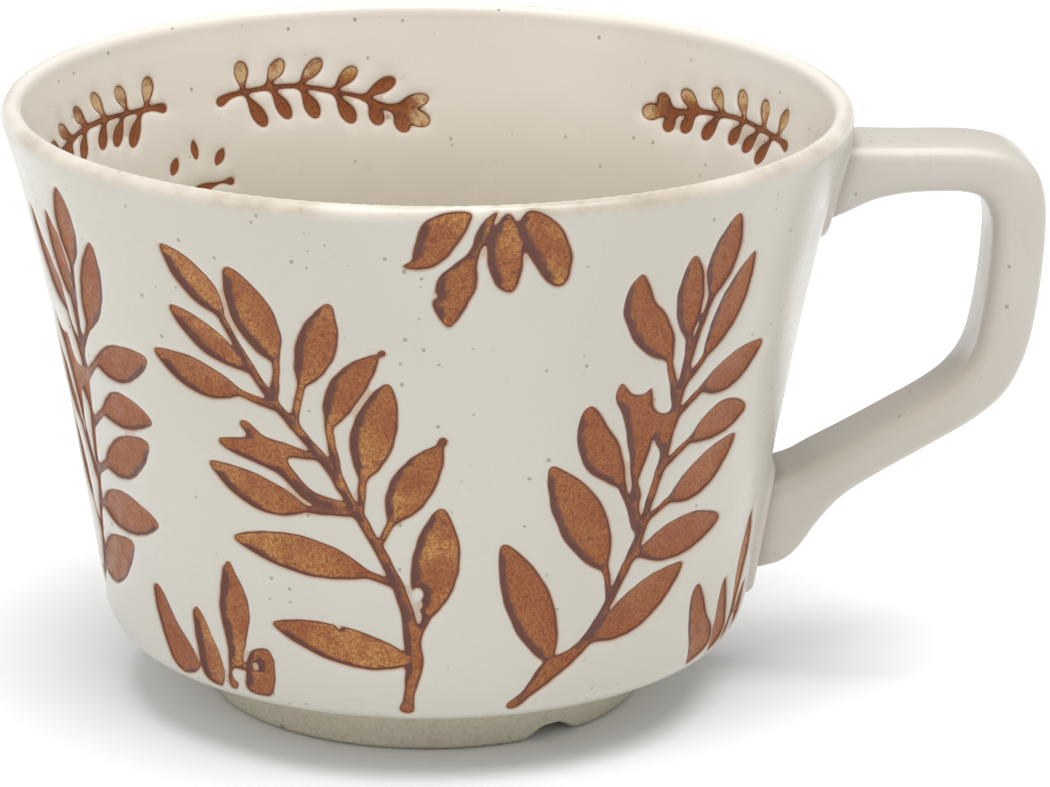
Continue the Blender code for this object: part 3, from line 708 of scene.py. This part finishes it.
def cream_glaze(name, base, warm, edged):
    shader = Shader(name, 0.34, Coat_Weight=0.12, Coat_Roughness=0.14, Specular_IOR_Level=0.45)
    colour = glaze_colour(shader, base, warm)
    if edged:
        pale_rim = glaze_colour(shader, LINER_BASE, LINER_WARM)
        colour = shader.mix(shader.attribute("rim"), colour, pale_rim)
        # Painted shade low inside the cup: mix towards a darker khaki by the deep share
        colour = shader.mix(shader.attribute("deep"), colour, (0.575, 0.53, 0.435, 1))
        edge = shader.attribute("edge")
        halo = shader.ramp(edge, ((0.0, 0.75), (0.32, 0.0)))
        colour = shader.mix(halo, colour, (0.40, 0.21, 0.10, 1))
        lip = shader.attribute("lip")
        patchy = shader.ramp(shader.noise(60, 3.0, 0.6, (1, 1, 0.2)), ((0.30, 0.25), (0.70, 1.0)))
        colour = shader.mix(shader.times(lip, patchy), colour, (0.40, 0.335, 0.245, 1))
    else:
        # Painted shade: the strap turns darker tan close to the wall, in the crease where it meets the
        # cup
        root = shader.times(shader.attribute("root"), 0.62)
        colour = shader.mix(root, colour, (0.33, 0.275, 0.205, 1))
    swell = shader.noise(95, 2.0, 0.4)
    rough = shader.ramp(shader.noise(120, 1.0), ((0.3, 0.27), (0.75, 0.36)))
    return shader.finish(colour, (swell, 0.30, 0.0006), rough)


def leaf_stain(name):
    """Iron stain: a dark purplish edge band, then terracotta with a fine golden speckle. The band is
    the stain's own dark edge, widened on one side of each leaf by painted shade of its sunken wall.
    """
    shader = Shader(name, 0.5, Specular_IOR_Level=0.2)
    tone = shader.attribute("tone")
    gold = shader.attribute("gold")
    wander = shader.times(shader.math("SUBTRACT", shader.noise(700, 3.0, 0.6), 0.5), 0.5)
    body = shader.math("ADD", tone, wander)
    clay = shader.mix(shader.noise(300, 3.0, 0.6), (0.215, 0.053, 0.020, 1), (0.275, 0.085, 0.030, 1))
    patch = shader.ramp(shader.noise(190, 3.0, 0.55), ((0.38, 0.10), (0.60, 1.0)))
    patch = shader.times(patch, gold)
    clay = shader.mix(shader.times(patch, 0.5), clay, (0.385, 0.168, 0.056, 1))
    grain = shader.ramp(shader.noise(3000, 2.0, 0.7), ((0.42, 0.0), (0.60, 1.0)))
    speckle = shader.times(grain, shader.math("ADD", shader.times(patch, 0.7), 0.22))
    clay = shader.mix(speckle, clay, (0.50, 0.255, 0.080, 1))
    bright = shader.times(shader.ramp(gold, ((1.0, 0.0), (1.9, 0.95))),
                         shader.ramp(shader.noise(480, 2.0, 0.6), ((0.36, 0.15), (0.58, 1.0))))
    clay = shader.mix(bright, clay, (0.60, 0.41, 0.22, 1))
    fleck = shader.ramp(shader.noise(1700, 2.0, 0.6, offset=(0.3, 0.1, 0.2)), ((0.55, 0.0), (0.68, 0.6)))
    clay = shader.mix(fleck, clay, (0.15, 0.042, 0.018, 1))
    # Dark band colour: the stain's own dark edge, and on one side of each leaf painted shade of the
    # sunken wall
    dark = shader.mix(shader.noise(420, 2.0), (0.098, 0.040, 0.034, 1), (0.140, 0.054, 0.036, 1))
    colour = shader.mix(shader.ramp(body, ((0.34, 0.0), (0.62, 1.0))), dark, clay)
    rim = shader.ramp(shader.attribute("edge"), ((-0.20, 0.0), (-0.02, 0.85)))
    colour = shader.mix(rim, colour, (0.185, 0.062, 0.030, 1))
    rough = shader.ramp(shader.noise(500, 2.0), ((0.3, 0.34), (0.7, 0.52)))
    fine = shader.noise(1600, 3.0, 0.6)
    return shader.finish(colour, (fine, 0.22, 0.00012), rough)


def bare_clay(name):
    shader = Shader(name, 0.78)
    drift = shader.noise(55, 3.0)
    colour = shader.mix(drift, (0.60, 0.555, 0.43, 1), (0.66, 0.615, 0.495, 1))
    grit = shader.ramp(shader.noise(1500, 3.0, 0.7), ((0.42, 0.0), (0.68, 0.6)))
    colour = shader.mix(grit, colour, (0.48, 0.43, 0.32, 1))
    dots = shader.times(shader.spots(330, 0.16, 0.4), 0.5)
    colour = shader.mix(dots, colour, (0.16, 0.12, 0.07, 1))
    return shader.finish(colour, (shader.noise(1300, 4.0, 0.7), 0.4, 0.00018))


# ---------------------------------------------------------------- the cup's pieces

def smoothstep(x, low, high):
    t = np.clip((x - low) / (high - low), 0, 1)
    return t * t * (3 - 2 * t)


def relief(distance, depth):
    """Offset of the surface: a pillowed glaze edge outside, a sunken floor inside."""
    outside = -0.5 * depth * (1 - np.clip(distance / 0.85, 0, 1)) ** 2.4
    inside = -0.5 * depth - 0.5 * depth * smoothstep(-distance, 0.0, 0.55)
    return np.where(distance > 0, outside, inside)


# Painted shade of the sunken leaves' walls: the wide part of the dark band is drawn on the left of the
# leaves in front and on the right of those beyond
SHADOW_SIDE_TURN = -121.0


def breadth(mask, reach):
    """Share of the drawing that is stained in a square round each cell of the grid."""
    total = np.pad(mask.astype(float), reach, mode="edge").cumsum(0).cumsum(1)
    total = np.pad(total, ((1, 0), (1, 0)))
    side = 2 * reach + 1
    share = total[side:, side:] - total[:-side, side:] - total[side:, :-side] + total[:-side, :-side]
    return share / side ** 2


def leaf_tones(field, flat, wide, narrow):
    """Distance of each flat point from the drawing's edge, and its tone, 0 at the edge of a
    leaf and 1 beyond the dark band. The band is wide on one side of a leaf, where it is painted
    shade of the sunken leaf's wall, and narrow elsewhere, where it is the stain's own dark edge."""
    u, v = flat[:, 0], flat[:, 1]
    across, up = np.gradient(field.distance, CELL)[::-1]
    slope = np.stack([field.read(across, u, v), field.read(up, u, v)], -1)
    slope /= np.maximum(np.linalg.norm(slope, axis=1), 1e-3)[:, None]
    lean = np.where(u < SHADOW_SIDE_TURN, 0.8, -0.94)
    shadow_facing = np.clip(slope[:, 0] * lean - 0.22 * slope[:, 1], 0, 1)
    broad = field.read(breadth(field.distance < 0, 9), u, v)
    width = narrow * (0.4 + 0.6 * smoothstep(broad, 0.28, 0.5))
    # Painted shade: the band widens on the side where the sunken leaf's wall would lie in shadow
    width += (wide - narrow) * smoothstep(shadow_facing, 0.15, 0.9) * smoothstep(broad, 0.42, 0.72)
    distance = field.read(field.distance, u, v)
    return distance, np.clip(-distance / width, 0, 1.4) / 1.4


def drawn_wall(field, wall, coat_name, coat_skin, stain, low_v, high_v, rows, columns, levels,
               depth, widths, golden, coat_extra):
    """Make the glaze coat with its windows, and one sunken piece for each region in them."""
    flat, triangles, region = flat_mesh(field, low_v, high_v, rows, columns, levels)
    distance, tone = leaf_tones(field, flat, *widths)
    top = relief(distance, depth)
    centre = flat[triangles].mean(1)
    middle = field.read(field.distance, centre[:, 0], centre[:, 1])
    glaze = np.zeros(len(triangles), bool)
    pieces = []
    shown = {"edge": distance, "tone": tone, "gold": golden(flat[:, 0], flat[:, 1])}
    nearest = np.clip(((flat[:, 0] - field.us[0]) / CELL).astype(int), 0, len(field.us) - 1)
    level = np.clip((flat[:, 1] / CELL).astype(int), 0, len(field.vs) - 1)
    owner = field.owner[level, nearest]
    for number in range(region.max() + 1):
        here = region == number
        if np.median(middle[here]) > 0:
            glaze |= here
            continue
        inner = np.unique(triangles[here])
        inner = inner[distance[inner] < -0.2]
        names = sorted({field.names[k] for k in owner[inner] if k >= 0})
        if not names:
            glaze |= here
            continue
        piece = shell(names[0] + "_stain", flat, triangles[here], wall, top, STAIN_BACK, shown, stain)
        pieces.append((piece, names))
    coat = shell(coat_name, flat, triangles[glaze], wall, top, GLAZE_BACK,
                 {"edge": distance, **coat_extra(flat)}, coat_skin)
    return coat, pieces


def outside_gold(u, v):
    """Gold share outside: the upright sprigs are plainer and redder than the rest."""
    local = (u - PATTERN_PHASE) % PATTERN_REPEAT
    plain = smoothstep(local, 10, 16) * (1 - smoothstep(local, 54, 60))
    plain *= 1 - smoothstep(v, 64, 68) * (1 - smoothstep(local, 22, 26))
    return (0.58 + 0.42 * np.sin(2.3 * u / 9 + 1.9 * v / 8 + 0.7)) * (1 - 0.8 * plain)


def inside_gold(u, v):
    """The upper leaflets and the far tips of the ferns kept their golden middles."""
    away = [np.abs((u - centre + CIRCUMFERENCE / 2) % CIRCUMFERENCE - CIRCUMFERENCE / 2)
            for centre in PAIR_CENTRES]
    far = smoothstep(np.min(away, axis=0), 31.0, 34.0)
    high = 1 - smoothstep(v + FERN_START, 7.4, 9.4)
    return 2.0 * np.maximum(high, far) - 0.1


def lip_share(flat):
    """Tan break where the glaze runs thin over the outer roll of the lip."""
    v = flat[:, 1]
    start = OUTER_LENGTH
    angle = flat[:, 0] / PATTERN_RADIUS
    band = smoothstep(v, start - 0.2, start + 0.8) * (1 - smoothstep(v, start + 2.2, start + 3.2))
    pale = smoothstep(v, start - 0.2, start + 1.4)
    return {"lip": band * (0.55 + 0.38 * np.cos(angle + radians(85))), "rim": pale}


def liner_share(flat):
    """Painted shade: the liner's glaze is drawn warmer and darker low in the cup, where the inside lies
    in shade.
    """
    return {"deep": 0.95 * smoothstep(flat[:, 1], 6, 26)}


def ride(piece, *nodes, slot):
    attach(piece, "root")
    if nodes:
        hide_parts(*nodes)
    return piece


def make_outside(cream, stain):
    drops = [(u + PATTERN_PHASE - PATTERN_REPEAT * n, v, radius) for n in range(3)
             for u, v, radius in GLAZE_DROPS]
    field = Field(outside_drawing(), COAT_TOP + 0.6, drops=drops)
    rows = np.concatenate([np.arange(2.0, 8, 2), np.arange(8.6, 16, 0.7), np.arange(17, 82, 2.0),
                           np.arange(82.6, COAT_TOP - 0.2, 0.45)])
    levels = ((0.12, 0.5), (0.3, 0.6), (0.8, 0.9), (-0.3, 0.6), (-0.9, 0.8))
    # (1.6, 0.42): width in mm of the leaf band on its painted-shade side and elsewhere
    coat, pieces = drawn_wall(field, OUTSIDE, "outer_coat", cream, stain, 0.4, COAT_TOP, rows,
                              180, levels, 0.62, (1.6, 0.42), outside_gold, lip_share)
    ride(coat, "outer_glaze", slot="cream_glaze")
    for piece, names in pieces:
        ride(piece, *names, slot="leaf_stain")


# Fern parts as (distance outward from the pair's centre, depth below the rim)
FERN_START = 2.8
STRAIGHT_FERN = {
    "stem": [(4.2, 9.7), (6, 9.3), (8.5, 9.2), (12, 9), (16, 8.8), (20.5, 8.9), (25, 9.4),
             (29, 10.2), (32, 10.7)],
    "leaves": [
        ((7.6, 9.2), (6.2, 4.8)), ((11.2, 9), (12.5, 4.9)), ((16, 8.8), (18.1, 4.7)),
        ((20.6, 8.9), (23.3, 5.6)), ((25.2, 9.4), (28.9, 7)), ((29.6, 10.3), (32.8, 8.4)),
        ((8.6, 9.3), (11.8, 13.8)), ((12.2, 9.1), (15.2, 12.9)), ((16.2, 8.9), (18.4, 12.6)),
        ((21.2, 9), (23.8, 13)), ((25.8, 9.5), (27.8, 12.9)), ((29.2, 10.3), (30.8, 13.2)),
        ((30.5, 10.5), (35, 11.1)),
    ],
}
DROOPING_FERN = {
    "stem": [(5, 10.4), (6.8, 9.7), (9.2, 9.4), (12.6, 9.2), (17.2, 9.4), (22.2, 10.5),
             (26.4, 11.6), (29.5, 13), (32, 13.6)],
    "leaves": [
        ((9, 9.4), (9, 5)), ((12.5, 9.2), (15.2, 5.3)), ((17.3, 9.4), (20.8, 5.7)),
        ((22.3, 10.4), (25.6, 7.2)), ((26.4, 11.6), (31, 9)), ((30.4, 13.1), (35.6, 11.8)),
        ((9.2, 9.5), (12, 14.7)), ((13.2, 9.2), (15.7, 13.9)), ((17.6, 9.5), (19.8, 14.2)),
        ((22.4, 10.6), (25, 15.2)), ((27.2, 11.9), (28.8, 15.6)), ((30.6, 13.3), (32.6, 16.7)),
        ((31, 13.4), (35.8, 15.4)),
    ],
}
FLORET_DROPS = [((0, 17.9), (0.2, 14.9), 0.62), ((4.9, 19.2), (3.4, 17), 0.75),
                ((-3.2, 19.1), (-4.8, 16.9), 0.72)]
FLORET_BARS = [[(0.6, 22.6), (-0.6, 22.1), (-2.6, 21.7), (-4.4, 21.6), (-5.6, 21.7)],
               [(0.4, 22.6), (2.4, 22.2), (4.6, 22), (6.2, 22.2)]]
PAIR_CENTRES = (9.5 - FERN_TURN, 111.5 - FERN_TURN, -99.2 - FERN_TURN)


def club(root, tip, half_width, steps=12):
    """A leaflet that starts narrow, swells past its middle and ends round."""
    root, tip = np.array(root, float), np.array(tip, float)
    along = (tip - root) / np.hypot(*(tip - root))
    side = np.array((-along[1], along[0]))
    shares = 1 - (1 - np.linspace(0, 1, steps + 1)) ** 1.6
    middle = root + (tip - root) * shares[:, None]
    swell = 0.22 + 0.78 * np.sin(pi / 2 * np.clip(shares / 0.66, 0, 1)) ** 2
    swell *= np.sqrt(np.clip(1 - (np.clip(shares - 0.62, 0, 1) / 0.38) ** 2.2, 0, 1))
    wide = side * (half_width * swell)[:, None]
    return np.concatenate([middle - wide, (middle + wide)[-2::-1]])


def fern_outlines(fern):
    outlines = [stem(fern["stem"], (0.85, 0.45) + (0.34,) * 5 + (0.5, 0.6))]
    for k, (root, tip) in enumerate(fern["leaves"]):
        outlines.append(club(root, tip, 1.05 if k < 12 else 1.25))
    return outlines


def inside_drawing():
    """Three mirrored pairs of ferns under the lip, with a floret below each pair."""
    drawing = {}
    for number, centre in enumerate(PAIR_CENTRES):
        for side in (1, -1):
            fern = DROOPING_FERN if side < 0 and number else STRAIGHT_FERN
            start = centre - (4.0 if side < 0 and not number else 0.0)
            drawing["fern_%d_%s" % (number + 1, "a" if side > 0 else "b")] = [
                outline * (side, 1) + (start, -FERN_START) for outline in fern_outlines(fern)]
        shift = np.array((centre, -FERN_START))
        for k, (root, tip, wide) in enumerate(FLORET_DROPS):
            drawing["floret_%d_%d" % (number + 1, k + 1)] = [
                leaf(root, tip, wide, wide, 0, 1.0, 10) + shift]
        drawing["floret_%d_bar" % (number + 1)] = [
            stem(FLORET_BARS[0], (1.0, 0.8, 0.22, 0.25, 0.85)) + shift,
            stem(FLORET_BARS[1], (0.8, 0.22, 0.3, 0.85)) + shift]
    for outlines in drawing.values():
        for k, outline in enumerate(outlines):
            turns = np.ceil((outline[:, 0].max() - SEAM) / CIRCUMFERENCE) * CIRCUMFERENCE
            outlines[k] = outline - np.array((turns, 0))
    return drawing


def make_inside(cream, stain):
    field = Field(inside_drawing(), 30.0, wobble=0.06)
    bottom = INSIDE.total() - 1.0
    rows = np.concatenate([np.arange(1.0, 24, 2.0), np.arange(25, 62, 3.0),
                           np.arange(62.5, 78, 1.0), np.arange(79, bottom - 1, 4.0)])
    levels = ((0.15, 0.5), (0.5, 0.8), (-0.25, 0.5))
    # (0.4, 0.3): width in mm of the fern band on its painted-shade side and elsewhere
    coat, pieces = drawn_wall(field, INSIDE, "liner_coat", cream, stain, 0.0, bottom, rows, 150,
                              levels, 0.34, (0.4, 0.3), inside_gold, liner_share)
    ride(coat, "liner_glaze", slot="cream_liner")
    for piece, names in pieces:
        ride(piece, *names, slot="leaf_stain")


def make_clay_core(clay):
    """The clay wall between the two coats, bare only under the cup."""
    outer = [OUTSIDE.at(v, CLAY_SKIN) for v in np.linspace(0.0, OUTER_LENGTH - 1.5, 90)]
    inner = [INSIDE.at(v, CLAY_SKIN) for v in np.linspace(2.0, INSIDE.total() - 0.5, 70)]
    profile = [(0.0, UNDERSIDE_HEIGHT), (24, UNDERSIDE_HEIGHT - 0.05), (31.2, UNDERSIDE_HEIGHT - 0.02)]
    profile += outer + inner + [(0.0, FLOOR_HEIGHT + CLAY_SKIN)]
    ride(turned("clay_core", profile, clay), "cup_body", slot="bare_clay")


FOOT_OUTER, FOOT_INNER = 29.4, 24.0
NOTCH_ANGLES = (-57.5, 122.5)


def make_foot(clay):
    """Trimmed ring with soft corners and two shallow drain notches."""
    top = UNDERSIDE_HEIGHT + 0.05
    profile = [(FOOT_OUTER + 1.5, top), (FOOT_OUTER + 0.75, 3.6), (FOOT_OUTER + 0.35, 2.0)]
    profile += list(arc((FOOT_OUTER - 0.75, 0.85), 0.95, 0, -90, 8) + (0, 0.1))
    profile += list(arc((FOOT_INNER + 0.8, 0.8), 0.8, -90, -180, 6))
    profile += [(FOOT_INNER - 0.4, 2.6), (FOOT_INNER - 0.9, top)]
    ring = turned("foot_ring_clay", profile, clay, 720)
    for vertex in ring.data.vertices:
        x, y = vertex.co.x / MM - AXIS_X, vertex.co.y / MM
        angle = np.degrees(np.arctan2(y, x))
        for notch in NOTCH_ANGLES:
            across = np.hypot(x, y) * sin(radians(angle - notch))
            same = cos(radians(angle - notch)) > 0
            if same and abs(across) < 6.0:
                height = 1.6 * (1 - smoothstep(abs(across), 0.9, 4.8))
                share = max(0.0, 1 - vertex.co.z / MM / 4.0)
                vertex.co.z += height * share * MM
    ring.data.update()
    ride(ring, "foot_ring", slot="bare_clay")


HANDLE_WIDTH = 13.5
HANDLE_CORNER = 2.6
# Stations along the strap: the outer edge and the inner edge in side view
STRAP = [
    ((54.7, 76.45), (51, 65)), ((55.6, 76.4), (53, 65.7)), ((57.5, 76.4), (55.6, 66.7)),
    ((59.5, 76.4), (58, 67.8)), ((61.5, 76.35), (60.6, 68.8)), ((65, 76.3), (64.3, 69.5)),
    ((69.5, 76.3), (68.4, 69.7)), ((74, 76.1), (71.9, 69.6)), ((78.4, 75.1), (74.2, 68.9)),
    ((81.7, 72.6), (75.4, 67.3)), ((83.1, 68.9), (75.9, 65.2)), ((83.4, 64.5), (76, 62.6)),
    ((83.1, 58), (75.7, 57.4)), ((82.3, 51.2), (75, 51.6)), ((81.1, 46.2), (73.9, 46.9)),
    ((78.9, 41.6), (71.6, 43.3)), ((75, 37.9), (68.2, 40.6)), ((69, 34.2), (63, 37.6)),
    ((62.4, 30.4), (57.4, 34.5)), ((56.9, 26.8), (53, 32.2)), ((53.4, 23), (50.6, 30.8)),
    ((51, 19.6), (48.8, 30.1)), ((48.8, 17.7), (47.3, 29.6)), ((46.2, 16.9), (46, 29.2)),
    ((43.2, 16.4), (44.8, 28.8)),
]
OUTER_HEIGHTS = np.array([point for point in OUTER_POINTS if point[1] > 12])


def rounded_section(half_a, half_b, corner, steps=7):
    """A rectangle about the origin with round corners."""
    points = []
    for quarter, (side_a, side_b) in enumerate(((1, 1), (-1, 1), (-1, -1), (1, -1))):
        centre = (side_a * (half_a - corner), side_b * (half_b - corner))
        points.append(arc(centre, corner, 90 * quarter, 90 * quarter + 90, steps - 1))
    return np.concatenate(points)


def make_handle(cream):
    """The strap: a rounded flat section swept through its stations, flared at both ends."""
    stations = smooth_line([(*outer, *inner) for outer, inner in STRAP], 5)
    verts = []
    for xo, zo, xi, zi in stations:
        outer, inner = np.array((xo, zo)), np.array((xi, zi))
        middle, across = (outer + inner) / 2, outer - inner
        thick = np.hypot(*across)
        flare = 0.5 * np.exp(-max(middle[0] - (54 if zo > 50 else 47), 0) / 2.2)
        section = rounded_section(thick / 2, HANDLE_WIDTH / 2 + flare, HANDLE_CORNER)
        count = len(section)
        for a, b in section:
            side = middle + across / thick * a
            verts.append((AXIS_X + side[0], b, side[1]))
    faces = ring_faces(len(stations), count, False)
    faces.append(tuple(range(count)))
    faces.append(tuple(range(len(verts) - 1, len(verts) - 1 - count, -1)))
    verts = np.array(verts)
    strap = add_mesh("handle_strap", verts * MM, faces, cream, 60)
    reach = np.hypot(verts[:, 0] - AXIS_X, verts[:, 1])
    wall = np.interp(verts[:, 2], OUTER_HEIGHTS[:, 1], OUTER_HEIGHTS[:, 0])
    # Painted shade near the wall: share of darker tan on the strap, 1 at the wall and 0 beyond 3 mm
    set_attribute(strap, "root", 1 - smoothstep(reach - wall, 0.5, 3.0))
    ride(strap, "handle", slot="cream_glaze")


BEADS = {"handle_joint_upper": (7.0, 68.6, 80.4), "handle_joint_lower": (8.2, 17.4, 33.4)}


def make_bead(node, half_u, low_v, high_v, cream):
    """Ridge of glaze and slip round one end of the strap, following the wall."""
    middle, half_v = (low_v + high_v) / 2, (high_v - low_v) / 2
    levels = np.linspace(-1.5, 1.9, 18)
    rings = []
    for level in levels:
        section = rounded_section(half_u + level, half_v + level, 3.2 + level, 12)
        section = section + (0, middle)
        height = 1.0 * np.sqrt(max(0.0, 1 - ((level - 0.3) / 1.3) ** 2)) if -1.0 < level < 1.6 else 0.0
        rings.append((section, height - 0.06))
    count = len(rings[0][0])
    verts = []
    for section, height in rings + [(rings[-1][0], -0.7), (rings[0][0], -0.7)]:
        radius, z = OUTSIDE.at(section[:, 1], height)
        verts.extend(place(radius, section[:, 0] / PATTERN_RADIUS, z))
    bead = add_mesh(node + "_bead", verts, ring_faces(len(rings) + 2, count, True), cream, 50)
    ride(bead, node, slot="cream_glaze")


# ---------------------------------------------------------------- floor, light and camera

CAMERA_DISTANCE = 700.0
CAMERA_ELEVATION = radians(17.39)
CAMERA_TARGET_HEIGHT = 41.0
HANDLE_TURN = radians(3.0)
FLOOR_HALF = 6.0
# The lens in picture widths, and where the centre of the picture looks from the target
LENS_WIDTHS = 4.8943
AIM_RIGHT, AIM_DOWN, ROLL = radians(1.0936), radians(0.0323), radians(0.31)


def make_camera():
    """A long lens that sees the handle turned three degrees away from square on."""
    lens = bpy.data.cameras.new("camera")
    lens.sensor_width = 36.0
    lens.lens = LENS_WIDTHS * lens.sensor_width
    lens.clip_start, lens.clip_end = 0.01, 50
    camera = add_object("camera", lens)
    centre = Matrix.Translation(Vector((AXIS_X, 0, CAMERA_TARGET_HEIGHT)) * MM)
    swing = Matrix.Rotation(-HANDLE_TURN, 4, "Z")
    tilt = Matrix.Rotation(pi / 2 - CAMERA_ELEVATION, 4, "X")
    away = Matrix.Translation((0, 0, CAMERA_DISTANCE * MM))
    aim = Matrix.Rotation(-AIM_RIGHT, 4, "Y") @ Matrix.Rotation(-AIM_DOWN, 4, "X")
    camera.matrix_world = centre @ swing @ tilt @ away @ aim @ Matrix.Rotation(ROLL, 4, "Z")
    bpy.context.scene.camera = camera


def make_light(name, spot, size, power, colour=(1, 1, 1)):
    lamp = bpy.data.lights.new(name, "AREA")
    lamp.shape = "RECTANGLE"
    lamp.size, lamp.size_y = size
    lamp.energy = power
    lamp.color = colour
    made = add_object(name, lamp)
    made.location = spot
    aim = Vector((AXIS_X * MM, 0, 0.04)) - made.location
    made.rotation_euler = aim.to_track_quat("-Z", "Y").to_euler()


def make_stage():
    white = Shader("floor_white", 0.9, Specular_IOR_Level=0.0)
    tint = white.mix(white.noise(3, 1.0), (0.925, 0.935, 0.95, 1), (0.935, 0.945, 0.96, 1))
    corners = [(x * FLOOR_HALF, y * FLOOR_HALF, -0.0001) for x, y in ((-1, -1), (1, -1), (1, 1), (-1, 1))]
    add_mesh("floor", corners, [(0, 1, 2, 3)], white.finish(tint))
    world = bpy.data.worlds.new("studio")
    world.use_nodes = True
    sky = world.node_tree.nodes["Background"]
    sky.inputs["Color"].default_value = (1.0, 1.0, 1.0, 1)
    sky.inputs["Strength"].default_value = 0.52
    bpy.context.scene.world = world
    sun = bpy.data.lights.new("overhead", "SUN")
    sun.energy = 2.8
    sun.angle = radians(50)
    add_object("overhead", sun).rotation_euler = (radians(9), radians(4), 0)
    make_light("key", (-0.85, -0.65, 0.75), (0.5, 1.0), 2.0, (1.0, 0.99, 0.97))
    make_light("fill", (0.95, -0.35, 0.55), (0.25, 0.9), 0.12, (0.97, 0.98, 1.0))
    bpy.context.scene.view_settings.view_transform = "Standard"


def main():
    cream = cream_glaze("cream_glaze_satin", (0.545, 0.522, 0.460, 1), (0.52, 0.488, 0.415, 1), True)
    liner = cream_glaze("cream_liner_satin", LINER_BASE, LINER_WARM, True)
    plain = cream_glaze("cream_handle_satin", (0.545, 0.505, 0.45, 1), (0.50, 0.455, 0.39, 1), False)
    stain = leaf_stain("leaf_stain_brown")
    clay = bare_clay("bare_clay_khaki")
    make_camera()
    make_stage()
    make_outside(cream, stain)
    make_inside(liner, stain)
    make_clay_core(clay)
    make_foot(clay)
    make_handle(plain)
    for node, (half_u, low_v, high_v) in BEADS.items():
        make_bead(node, half_u, low_v, high_v, plain)


main()
